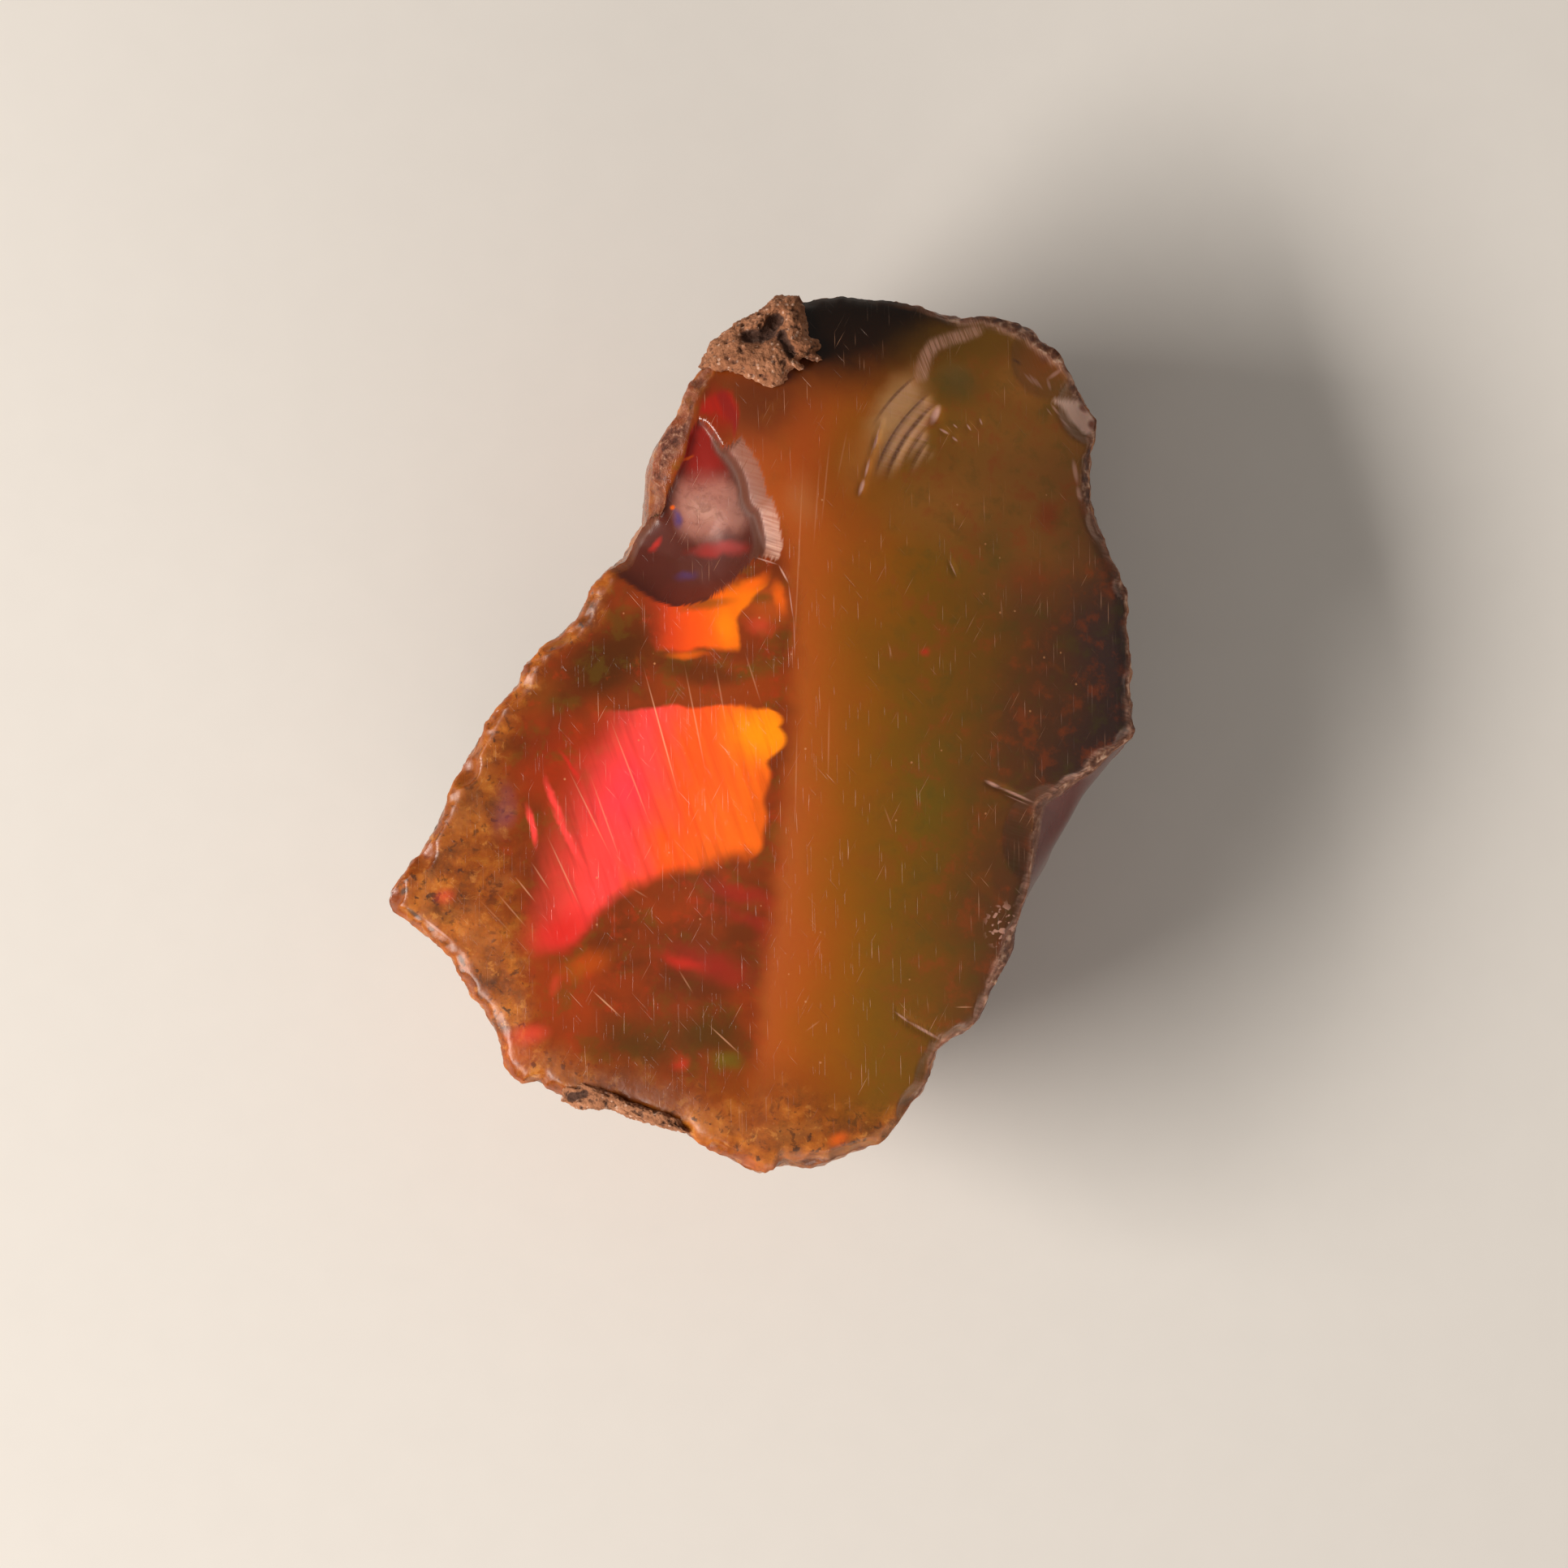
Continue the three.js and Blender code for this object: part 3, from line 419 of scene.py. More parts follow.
# Hairline scratches in the window: from, to and how bright
SCRATCHES = [
    ((-3.08, 1.88), (-2.08, -1.77), 1.0), ((-2.02, 1.94), (-1.4, -1.19), 0.6),
    ((-1.21, 1.88), (-0.9, 0.13), 0.4), ((-0.46, 2.17), (0.0, 0.71), 0.4),
    ((-3.96, 0.56), (-2.79, -2.5), 0.6), ((-5.04, -0.75), (-3.81, -3.25), 0.6),
    ((-4.46, -0.9), (-3.58, -3.38), 0.5), ((-5.56, -2.5), (-4.6, -4.56), 0.7),
    ((-5.94, -3.25), (-5.42, -4.04), 0.6), ((-6.38, -3.6), (-5.79, -4.33), 0.8),
    ((-6.88, -3.98), (-6.0, -5.0), 0.7), ((-7.31, -4.19), (-6.38, -5.15), 0.6),
    ((-8.13, -4.42), (-7.6, -4.63), 0.5), ((-4.4, -6.52), (-3.56, -7.29), 0.9),
    ((-1.4, -7.4), (-0.52, -8.21), 0.7), ((4.92, -6.98), (5.42, -6.98), 0.7),
    ((-2.15, -6.0), (-1.75, -6.65), 0.4), ((-3.4, -3.9), (-2.9, -4.2), 0.3),
    ((1.08, 7.6), (0.78, 1.2), 0.3), ((1.75, 7.7), (1.5, 5.2), 0.35), ((1.5, 7.3), (1.3, 4.6), 0.3),
    ((2.2, 7.9), (1.9, 6.4), 0.25), ((1.72, 1.0), (1.68, -1.4), 0.35), ((0.9, 0.4), (0.84, -2.4), 0.3),
    ((3.1, -1.8), (3.35, -2.5), 0.3), ((1.1, -7.6), (1.5, -7.3), 0.35), ((3.2, 2.4), (3.34, 1.9), 0.25),
]
# Half the width that a scratch is drawn with, so that it shows
SCRATCH_WIDTH = 0.03

# The flash band's edges, as points of each: the top and bottom are heights at places along x, the ends are
# places at heights
BAND_TOP = [(-7.5, 0.1), (-5.2, 0.46), (-3.6, 0.64), (-1.8, 0.69), (0.2, 0.64), (0.9, 0.4)]
BAND_BOTTOM = [(-7.5, -5.7), (-5.5, -5.5), (-4.9, -5.2), (-4.0, -4.35), (-3.3, -3.85), (-2.2, -3.45),
               (-1.3, -3.25), (-0.4, -3.05), (0.9, -2.9)]
BAND_RIGHT = [(-4.5, -0.9), (-3.3, -0.35), (-2.95, -0.02), (-2.5, 0.02), (-2.1, 0.12), (-1.7, 0.04),
              (-1.3, 0.16), (-0.95, 0.2), (-0.72, 0.12), (-0.5, 0.34), (-0.25, 0.58), (-0.05, 0.6),
              (0.1, 0.5), (0.17, 0.43), (0.33, 0.52), (0.52, 0.43), (0.72, 0.12)]
BAND_LEFT = [(-6.0, -5.6), (-5.2, -5.5), (-4.2, -5.3), (-3.0, -5.05), (-1.5, -4.5), (0.0, -3.8), (0.8, -3.4)]

# Edges of the upper flash: its right end by height, its bottom along x
UPPER_RIGHT = [(1.5, -0.5), (2.3, -0.56), (2.9, -0.6), (3.4, -0.3), (3.9, 0.2)]
UPPER_BOTTOM = [(-3.2, 2.45), (-2.6, 2.15), (-2.0, 2.1), (-1.5, 2.2), (-0.9, 2.22), (-0.3, 2.22)]

# The line of the crest, where the clear window ends and the hazy orange veil starts, as places at heights
CREST_LINE = [(-11.5, -0.6), (-8.7, -0.2), (-6.0, 0.12), (-3.0, 0.45), (0.0, 0.78), (2.0, 0.85), (4.3, 0.72),
              (5.6, 0.25), (7.0, -0.62), (8.5, -1.0), (11.0, -1.2)]

# The lines of the face that its colours end at: name, along, across, line, and how far it fades
EDGES = [
    ("band top", "bent x", "bent y", BAND_TOP, 0.16), ("band right", "y", "x", BAND_RIGHT, 0.2),
    ("band bottom", "bent x", "bent y", BAND_BOTTOM, 0.6), ("band left", "bent y", "bent x", BAND_LEFT, 2.2),
    ("upper right", "bent y", "bent x", UPPER_RIGHT, 0.16),
    ("upper bottom", "bent x", "bent y", UPPER_BOTTOM, 0.22), ("veil", "bent y", "bent x", CREST_LINE, 0.75),
]
# Width of the square that these lines are drawn in, and the radii that the ripples' ramp covers
SPAN = 24.0
RIPPLE_FROM = 2.8
RIPPLE_TO = 5.0

# Clouds, stains and grit in the stone: name, place, scale per mm, detail, roughness, distortion
NOISES = [
    ("cloud", "point", 0.33, 2, 0.5, 0), ("wisps", "point", 0.85, 3, 0.5, 0.6),
    ("mottle", "point", 1.6, 5, 0.65, 0), ("stain", "bent", 1.5, 6, 0.62, 0),
    ("grit", "point", 4.2, 3, 0.5, 0), ("crumbs", "point", 6, 1, 0.5, 0),
    ("veins", "point", 2.8, 6, 0.7, 0.5), ("crumble", "point", 6.5, 6, 0.7, 0),
]
# Streaks in one direction: name, start along x, turn in degrees, length and width of a streak in mm, detail.
# Real hairs and hackles are finer, and are drawn this wide so that they show
STREAKS = [
    ("rays", 0, 112, 4.0, 0.5, 2), ("fine rays", 5, 109, 3.0, 0.2, 2), ("hackle lines", 0, 163, 0.9, 0.07, 2),
    ("steep hackle lines", 7, 112, 0.7, 0.035, 2), ("upright hairs", 3, 91, 1.3, 0.035, 1),
    ("slanted hairs", 9, 62, 1.3, 0.035, 1), ("leaning hairs", 17, 132, 1.1, 0.035, 1),
]
# What share of each pattern counts: name, pattern, where it starts, where it is full, the most it gives
SHARES = [
    ("rusty", "wisps", 0.56, 0.7, 0.3), ("right half", "bent x", 1.6, 4.6, 1),
    ("curdled", "veins", 0.32, 0.56, 1),
    ("green mottle", "mottle", 0.49, 0.32, 0.3), ("ember", "mottle", 0.51, 0.68, 0.45),
    ("below the dark top", "bent y", 10.2, 8.8, 1), ("olive mottle", "mottle", 0.54, 0.66, 0.5),
    ("pale mottle", "wisps", 0.5, 0.64, 0.4), ("olive stain", "stain", 0.5, 0.64, 0.4),
    ("red mottle", "mottle", 0.55, 0.68, 0.4), ("dark veins", "veins", 0.46, 0.36, 0.75),
    ("bright veins", "veins", 0.56, 0.66, 0.6), ("steep hackles", "steep hackle lines", 0.35, 0.65, 1),
    ("top", "y", 8.75, 8.95, 1), ("side mottle", "mottle", 0.58, 0.7, 0.7),
    ("side cloud", "cloud", 0.5, 0.62, 1),
    ("clear wisps", "wisps", 0.4, 0.64, 0.45), ("dust near", "dust distance", 0.1, 0.05, 1),
    ("dust chosen", "dust tone", 0.72, 0.76, 0.65), ("dark grit", "grit", 0.63, 0.7, 0.8),
    ("hackles", "hackle lines", 0.3, 0.7, 1), ("upright", "upright hairs", 0.69, 0.76, 1),
    ("slanted", "slanted hairs", 0.72, 0.79, 1), ("leaning", "leaning hairs", 0.725, 0.8, 1),
    ("grain near", "crumbs", 0.55, 0.6, 0.85), ("grain place", "grain reach", 1.0, 0.4, 1),
    ("right of the left end", "bent x", -3.2, -2.3, 0.96), ("under the scar", "bent y", 4.1, 3.5, 1),
]
# What is 1 less another share
REST_OF = [
    ("below band top", "band top"), ("left of band right", "band right"),
    ("left of upper right", "upper right"),
]
# Products of shares
PRODUCTS = [
    ("flash", "below band top", "left of band right", "band bottom", "band left"),
    ("upper flash", "left of upper right", "upper bottom", "right of the left end", "under the scar"),
    ("dust", "dust near", "dust chosen"), ("side ember", "side mottle", "side cloud"),
    ("shown hairs", "hairs", "clear wisps"), ("frosted", "frost", "hackles"),
    ("grains", "grain near", "grain place", "broad"), ("hazy", "veil", "broad"),
    ("clear right half", "right half", "below the dark top"),
    ("green fleck", "green mottle", "clear right half"),
    ("ember fleck", "ember", "clear right half"), ("rust fleck", "rusty", "veil", "below the dark top"),
    # haze: the scar's painted reflection, broken up by curdled veins
    ("haze", "milky haze", "curdled"),
]
# How much rougher than clear glassy stone each share of the surface is
ROUGHER = [
    ("hazy", 0.16), ("hairs", 0.12), ("scar", 0.1), ("frost", 0.25), ("skin", 0.2), ("ripple", 0.1),
    ("strip", 0.2), ("step", 0.4), ("crumb", 0.35), ("bright chip", 0.3),
]
# The foot of the right-hand rim, dark red in the shade
RED_FOOT = ("dark red foot of the right-hand rim", "deep red", (7.9, -3.2), (2.6, 4.8), -26, 0.3, 0.9)


# Shape


def rounded_min(a, b, rounding):
    """The lesser of two heights, with the crease between them rounded."""
    share = np.clip(rounding - np.abs(a - b), 0, None) / rounding
    return np.minimum(a, b) - share ** 2 * rounding / 4


def ease(value, low, high):
    """Rises smoothly from 0 at `low` to 1 at `high`."""
    share = np.clip((value - low) / (high - low), 0, 1)
    return share * share * (3 - 2 * share)


def face_height(x, y):
    """Height of the broad face over the resting surface, before any chip."""
    jog = CREST["jog"] * ease(y, CREST["jog_from"], CREST["jog_to"])
    left = CREST["x"] - CREST["bow"] * (y - CREST["bow_y"]) ** 2 - jog - x
    left_face = CREST_HEIGHT - LEFT_FACE["fall"] * left + LEFT_FACE["hollow"] * left ** 2
    right_face = CREST_HEIGHT + RIGHT_FACE["fall"] * left - RIGHT_FACE["swell"] * np.minimum(left, 0) ** 2
    swell = LENGTHWAYS_SWELL * y ** 2
    roll_y = TOP_ROLL["y"] + TOP_ROLL["rise"] * (x - TOP_ROLL["x"])
    roll = CREST_HEIGHT - swell - TOP_ROLL["fall"] * (y - roll_y)
    height = rounded_min(rounded_min(left_face, right_face, CREST["round"]) - swell, roll, TOP_ROLL["round"])
    for dish_x, dish_y, radius, depth in DISHES:
        height = height - depth * np.exp(-((x - dish_x) ** 2 + (y - dish_y) ** 2) / radius ** 2)
    return height


def face_normal(x, y):
    """The outward direction of the face at a point."""
    step = 0.05
    slope_x = (face_height(x + step, y) - face_height(x - step, y)) / (2 * step)
    slope_y = (face_height(x, y + step) - face_height(x, y - step)) / (2 * step)
    normal = np.array([-slope_x, -slope_y, 1.0])
    return normal / np.linalg.norm(normal)


def spaced(outline, count):
    """Points at equal steps along a closed outline, from its first point."""
    corners = np.array(list(outline) + [outline[0]], float)
    lengths = np.concatenate([[0], np.cumsum(np.linalg.norm(np.diff(corners, axis=0), axis=1))])
    places = np.linspace(0, lengths[-1], count, endpoint=False)
    return np.stack([np.interp(places, lengths, corners[:, axis]) for axis in (0, 1)], axis=1)


def smoothed(values, reach):
    """The running mean of a closed run of values, over `reach` steps to each side."""
    total = sum(np.roll(values, step, axis=0) for step in range(-reach, reach + 1))
    return total / (2 * reach + 1)


def cross(a, b):
    """The z part of the cross product of plan vectors."""
    return a[..., 0] * b[..., 1] - a[..., 1] * b[..., 0]


def girth_under(rim):
    """The girth under each rim point, on a shelf's edge where there is one, and its drop."""
    out = rim - HUB
    scale = np.ones(len(rim))
    drop = np.full(len(rim), GIRTH_DROP)
    for shelf_drop, edge in SHELVES:
        for start, end in zip(edge, edge[1:]):
            first = np.array(start) - HUB
            side = np.array(end) - HUB - first
            turning = cross(out, side)
            along = cross(first, out) / turning
            reach = cross(first, side) / turning
            found = (along >= 0) & (along <= 1) & (reach > scale)
            scale[found] = reach[found]
            drop[found] = shelf_drop
    return HUB + out * scale[:, None], drop


def turn_through(a, b):
    """How far round the net's square outline the line from its middle through (a, b) points, from 0 to 1."""
    reach = np.maximum(np.abs(a), np.abs(b))
    safe = np.where(reach == 0, 1, reach)
    right = (1 + b / safe / 8) % 1
    upper = (2 - a / safe) / 8
    left = (4 - b / safe) / 8
    lower = (6 + a / safe) / 8
    return np.select([reach == 0, a == reach, b == reach, a == -reach], [0 * a, right, upper, left], lower)


def widths_along(rim, rows):
    """The width at each rim point, from rows of a place and the width there."""
    places = [int(np.argmin(np.linalg.norm(rim - np.array(row[:2]), axis=1))) for row in rows]
    order = np.argsort(places)
    return np.interp(np.arange(len(rim)), np.array(places)[order], np.array(rows)[order, 2], period=len(rim))


def chip_ball(chip):
    """The centre and radius of the ball that leaves a shell-shaped hollow in the face."""
    x, y, radius, depth, lean, _ = chip
    ball_radius = (radius ** 2 + depth ** 2) / (2 * depth)
    outward = np.array([x - HUB[0], y - HUB[1], 0.0])
    outward /= np.linalg.norm(outward)
    to_ball = face_normal(x, y) * math.cos(math.radians(lean)) + outward * math.sin(math.radians(lean))
    to_ball *= (ball_radius - depth) / np.linalg.norm(to_ball)
    return np.array([x, y, face_height(x, y)]) + to_ball, ball_radius


def press_out(points, centre, radius):
    """Presses the points inside a ball out to its surface, and says which they are."""
    away = points - centre
    distance = np.linalg.norm(away, axis=1)
    inside = distance < radius
    points[inside] = centre + away[inside] * (radius / distance[inside])[:, None]
    return inside


def inside_outline(x, y, outline):
    """Which points lie inside a closed outline."""
    inside = np.zeros(len(x), bool)
    for (x_0, y_0), (x_1, y_1) in zip(outline, outline[1:] + outline[:1]):
        if y_0 != y_1:
            crosses = (y > min(y_0, y_1)) & (y <= max(y_0, y_1))
            inside ^= crosses & (x < x_0 + (y - y_0) * (x_1 - x_0) / (y_1 - y_0))
    return inside


def distance_to(x, y, line):
    """How far each point is from an open line."""
    nearest = np.full(len(x), np.inf)
    for start, end in zip(np.array(line), np.array(line)[1:]):
        run = end - start
        along = np.clip(((x - start[0]) * run[0] + (y - start[1]) * run[1]) / (run @ run), 0, 1)
        nearest = np.minimum(nearest, np.hypot(x - start[0] - along * run[0], y - start[1] - along * run[1]))
    return nearest


def share_within(x, y, outline, fade):
    """1 inside a closed outline and 0 outside it, with an edge that fades."""
    near = distance_to(x, y, outline + outline[:1])
    return ease(np.where(inside_outline(x, y, outline), near, -near), -fade / 2, fade / 2)


def noise_at(points, scale, octaves=3):
    """Smooth noise from about -1 to 1 at each point, with lumps about 1/scale mm wide."""
    return np.array([noise.fractal(Vector(point) * scale, 0.8, 2.1, octaves) for point in points])


def lumps_at(points, scale):
    """Rounded lumps, from 0 between them to about 1 on their tops, about 1/scale mm apart."""
    return np.array([1 - noise.voronoi(Vector(point) * scale)[0][0] for point in points])


def cut_scar(points, broad, near_rim):
    """Sinks the points of the broad face and of the wall's top that lie in the scar.

    Says which of the face's points do, and how far the bevel and the dull, steep breaks reach over each;
    those breaks are painted dark brown as shade.
    """
    outline = (SCAR_RUN_OUT[::-1] + SCAR_LEDGE[::-1][1:-1] + SCAR_BROW[::-1] + SCAR_LEFT[-2::-1]
               + SCAR_PAST_RIM[::-1])
    cut = (points[:, 2] > SCAR_FOOT) & inside_outline(points[:, 0], points[:, 1], outline)
    x, y, height = points[cut].T
    from_ledge, from_run_out, from_left, from_brow = [
        distance_to(x, y, line) for line in (SCAR_LEDGE, SCAR_RUN_OUT, SCAR_LEFT, SCAR_BROW)]
    from_soft = np.minimum(from_run_out, from_left)
    in_reaches = np.minimum(from_run_out / SCAR_EDGE["reach"], from_left / SCAR_EDGE["left reach"])
    soft = SCAR_EDGE["depth"] * (1 - np.exp(-in_reaches)) + SCAR_EDGE["slope"] * from_soft
    steep = np.interp(from_ledge, *zip(*LEDGE_PROFILE))
    brow = SCAR_EDGE["brow slope"] * from_brow
    floor = ease(from_ledge, 0.8, 1.2) * ease(from_soft, 0, 0.5)
    level = np.full(len(x), 3 / SCAR_SWELLS["per mm"])
    swells = noise_at(np.column_stack([x, y, level]), SCAR_SWELLS["per mm"], 1)
    depth = rounded_min(rounded_min(soft, steep, SCAR_EDGE["round"]), brow, SCAR_EDGE["round"])
    depth += floor * SCAR_SWELLS["height"] * swells
    wall_height = np.minimum(height, face_height(x, y) - RIM_WEAR - depth)
    points[cut, 2] = np.where(broad[cut] > 0, height - depth, wall_height)
    bevel = np.zeros(len(points))
    step = np.zeros(len(points))
    bevel_width, step_width = LEDGE_PROFILE[1][0], LEDGE_PROFILE[2][0]
    bevel[cut] = 1 - ease(from_ledge, bevel_width - 0.06, bevel_width + 0.02)
    # The steep wall beside the ledge is painted dark brown as shade; the upper bevel, the brow and the rim
    # beside the scar get some of it too
    step[cut] = np.max([
        (1 - bevel[cut]) * (1 - ease(from_ledge, step_width - 0.08, step_width + 0.08)),
        SCAR_DULL["bevel"] * bevel[cut] * ease(y, 5.5, 6.2),
        SCAR_DULL["brow"] * (1 - ease(from_brow, 0.06, 0.16)),
        SCAR_DULL["rim"] * ease(near_rim[cut], 0.7, 0.98)], axis=0)
    return cut & (broad > 0), bevel, step * broad


def flank_ball(flank):
    """The centre and radius of the ball whose surface is one hollow break of the underside."""
    azimuth, foot, reach, lip, radius = flank
    chord = math.hypot(reach - foot, lip)
    stand_off = math.sqrt(radius ** 2 - chord ** 2 / 4)
    outward = (foot + reach) / 2 + lip / chord * stand_off
    up = lip / 2 - (reach - foot) / chord * stand_off
    turn = math.radians(azimuth)
    return np.array([outward * math.cos(turn), outward * math.sin(turn), up]), radius


def cut_flanks(points):
    """Cuts the hollow breaks of the underside, with waves round each blow, and says where they are."""
    cut = np.zeros(len(points), bool)
    inwards, blow_height = FLANK_WAVES["blow at"]
    for flank in FLANKS:
        centre, radius = flank_ball(flank)
        pressed = press_out(points, centre, radius)
        blow = centre * (inwards, inwards, 0) + (0, 0, blow_height)
        away = np.linalg.norm(points[pressed] - blow, axis=1)
        sway = FLANK_WAVES["sway"] * np.sin(away * FLANK_WAVES["sway per mm"])
        waves = FLANK_WAVES["height"] * np.sin(away * FLANK_WAVES["per mm"] + sway)
        outward = points[pressed] - centre
        points[pressed] += outward / np.linalg.norm(outward, axis=1)[:, None] * waves[:, None]
        cut |= pressed
    return cut


def ripples_and_cracks(x, y):
    """Relief of the broad face's ripples and cracks, how frosted they leave it, and where ripples show."""
    from_centre = np.hypot(x - RIPPLE_CENTRE[0], y - RIPPLE_CENTRE[1])
    angle = np.degrees(np.arctan2(y - RIPPLE_CENTRE[1], x - RIPPLE_CENTRE[0]))
    relief, frost, ripple = np.zeros((3, len(x)))
    for radius, fall, start, end, depth, frosted in RIPPLES:
        window = ease(angle, start, start + 6) * (1 - ease(angle, end - 14, end))
        share = np.interp(from_centre, [radius - fall, radius, radius + GROOVE], [0, 1, 0])
        near = ease(from_centre, radius - fall - 0.05, radius - fall + 0.05)
        near *= 1 - ease(from_centre, radius + GROOVE, radius + 2 * GROOVE)
        relief -= depth * window * share
        frost = np.maximum(frost, frosted * window * near * (0.35 + 0.65 * share))
        ripple = np.maximum(ripple, window * near)
    from_hackles = distance_to(x, y, HACKLE_LINE)
    frost = np.maximum(frost, HACKLE_FROST * (1 - ease(from_hackles, 0.3 * HACKLE_WIDTH, HACKLE_WIDTH)))
    for start, end, width, depth, _ in CRACKS:
        run = np.array(end) - np.array(start)
        length = np.linalg.norm(run)
        along = ((x - start[0]) * run[0] + (y - start[1]) * run[1]) / length
        across = ((x - start[0]) * run[1] - (y - start[1]) * run[0]) / length
        window = ease(along, -0.05, 0.1) * (1 - ease(along, length - 0.1, length + 0.05))
        relief -= depth * window * np.exp(-(across / max(width, 0.05)) ** 2)
    return relief, frost, ripple


def square_net(cells):
    """A square net of points: the share of the way to its edge and the turn round it of each, and its quads.

    Also gives the numbers of the points on its edge, in order.
    """
    steps = np.arange(cells + 1)
    a, b = np.meshgrid(2 * steps / cells - 1, 2 * steps / cells - 1)
    a, b = a.ravel(), b.ravel()
    share = np.maximum(np.abs(a), np.abs(b))
    turn = turn_through(a, b)
    numbers = np.arange((cells + 1) ** 2).reshape(cells + 1, cells + 1)
    quads = np.stack([numbers[:-1, :-1], numbers[:-1, 1:], numbers[1:, 1:], numbers[1:, :-1]], axis=-1)
    on_edge = np.flatnonzero(share == 1)
    edge = np.empty(4 * cells, int)
    edge[np.floor(turn[on_edge] * 4 * cells + 1e-9).astype(int) % (4 * cells)] = on_edge
    return share, turn, quads.reshape(-1, 4), edge


def along_outline(outline, turn):
    """The points of an evenly spaced closed outline at turns from 0 to 1, and the number before each."""
    place = turn * len(outline)
    before = np.floor(place + 1e-9).astype(int)
    part = (place - before)[:, None]
    before %= len(outline)
    return outline[before] * (1 - part) + outline[(before + 1) % len(outline)] * part, before


def crumbly_rim():
    """The rim's points, crumbled, and the widths of the skin and of the chipped strip beside each."""
    rim = spaced(RIM, 4 * NET_CELLS)
    skin_widths = smoothed(widths_along(rim, SKIN_WIDTHS), 12)
    strip_widths = smoothed(widths_along(rim, STRIP_WIDTHS), 5)
    out = rim - HUB
    out /= np.linalg.norm(out, axis=1)[:, None]
    crumble = RIM_CRUMBLE["bare"] + RIM_CRUMBLE["skin"] * np.clip(skin_widths, 0, 1)
    crumble *= noise_at(np.column_stack([rim, np.zeros(len(rim))]), RIM_CRUMBLE["per mm"], 4)
    return rim + out * crumble[:, None], skin_widths, strip_widths


def face_shares(face, to_rim, skin_width, strip_width):
    """Shares of the face's points, from their distance to the rim and the widths of skin and strip there."""
    ragged = sum(share * noise_at(face, per_mm) for share, per_mm in SKIN_EDGE)
    skin = 1 - ease(to_rim / skin_width + ragged * (skin_width > 0.1), *SKIN_FADE)
    at_right = ease(face[:, 0], *RIGHT_PART)
    strip_width = strip_width * (1 + STRIP_EDGE["sway"] * noise_at(face, STRIP_EDGE["per mm"]))
    patchy = np.clip(RIM_FROST["even"] + noise_at(face, RIM_FROST["per mm"]), 0, 1)
    worn_right = at_right * np.exp(-((to_rim - strip_width) / RIM_FROST["line"]) ** 2)
    worn_left = RIM_FROST["left"] * (1 - at_right) * (1 - ease(to_rim, *RIM_FROST["left fade"]))
    crust = ease(face[:, 1], *CRUST_AT["y"]) * (1 - ease(face[:, 0], *CRUST_AT["x"]))
    strip_start, strip_end = [strip_width + fade for fade in STRIP_EDGE["fade"]]
    return {
        "skin": skin, "frost": np.clip(patchy * (worn_right + worn_left), 0, 1),
        "crumb": skin * crust,
        "strip": at_right * (1 - ease(to_rim, strip_start, strip_end)),
        "near rim": 1 - ease(to_rim, *NEAR_RIM), "broad": np.ones(len(face))}


def side_rings(rim, rim_z):
    """Rings of points from the rim down the lip and the wall and in over the base, and the base's middle."""
    girth, drop = girth_under(rim)
    girth, drop = smoothed(girth, 5), smoothed(drop, 9)
    eased = smoothed(girth, round(WALL_EASING * len(rim) / RIM_LENGTH))
    foot = np.array([FOOT["x"], FOOT["y"]])
    rings = []
    for lip in range(1, LIP_RINGS + 1):
        down = lip / (LIP_RINGS + 1)
        outward = 1 - (1 - down) ** LIP_ROUND
        rings.append(np.column_stack([rim + (girth - rim) * outward, rim_z - drop * down]))
    for level in range(WALL_RINGS + 1):
        down = level / WALL_RINGS
        out = girth + (eased - girth) * min(1, 2 * down) - foot
        length = np.linalg.norm(out, axis=1)
        angle = np.arctan2(out[:, 1], out[:, 0])
        knobs = sum(height * np.sin(around * angle + across * down + start)
                    for around, across, height, start in SKIN_KNOBS) * math.sin(math.pi * down)
        scale = 1 - (1 - FOOT["scale"]) * down ** FOOT["round"]
        plan = foot + out / length[:, None] * (length * scale + knobs)[:, None]
        rings.append(np.column_stack([plan, (rim_z - drop) * (1 - down)]))
    outer = rings[-1]
    for level in range(1, BASE_RINGS):
        rings.append(np.column_stack([foot + (outer[:, :2] - foot) * (1 - level / BASE_RINGS), outer[:, 2]]))
    return rings, [*foot, 0.0]


def stone_net():
    """Points and faces of the unbroken stone, the shares of each point, and the rim."""
    rim, skin_widths, strip_widths = crumbly_rim()
    share, turn, quads, above = square_net(NET_CELLS)
    on_rim, before = along_outline(rim, turn)
    plan = HUB + (on_rim - HUB) * share[:, None]
    to_rim = np.linalg.norm(on_rim - plan, axis=1)
    wear = RIM_WEAR * np.clip(1 - to_rim / WORN_WIDTH, 0, None) ** 2
    face = np.column_stack([plan, face_height(plan[:, 0], plan[:, 1]) - wear])
    rings, middle = side_rings(rim, face[above, 2])
    points = np.concatenate([face, *rings, [middle]])
    quads = [quads]
    for start in range(len(face), len(points) - 1, len(rim)):
        below = np.arange(start, start + len(rim))
        quads.append(np.stack([above, below, np.roll(below, -1), np.roll(above, -1)], axis=-1))
        above = below
    caps = np.stack([above, np.full(len(rim), len(points) - 1), np.roll(above, -1)], axis=-1)
    faces = np.concatenate(quads).tolist() + caps.tolist()
    shares = face_shares(face, to_rim, skin_widths[before], strip_widths[before]) | {"wear": wear}
    for name, values in shares.items():
        shares[name] = np.append(values, np.full(len(points) - len(face), float(name == "skin")))
    return points, faces, shares, rim


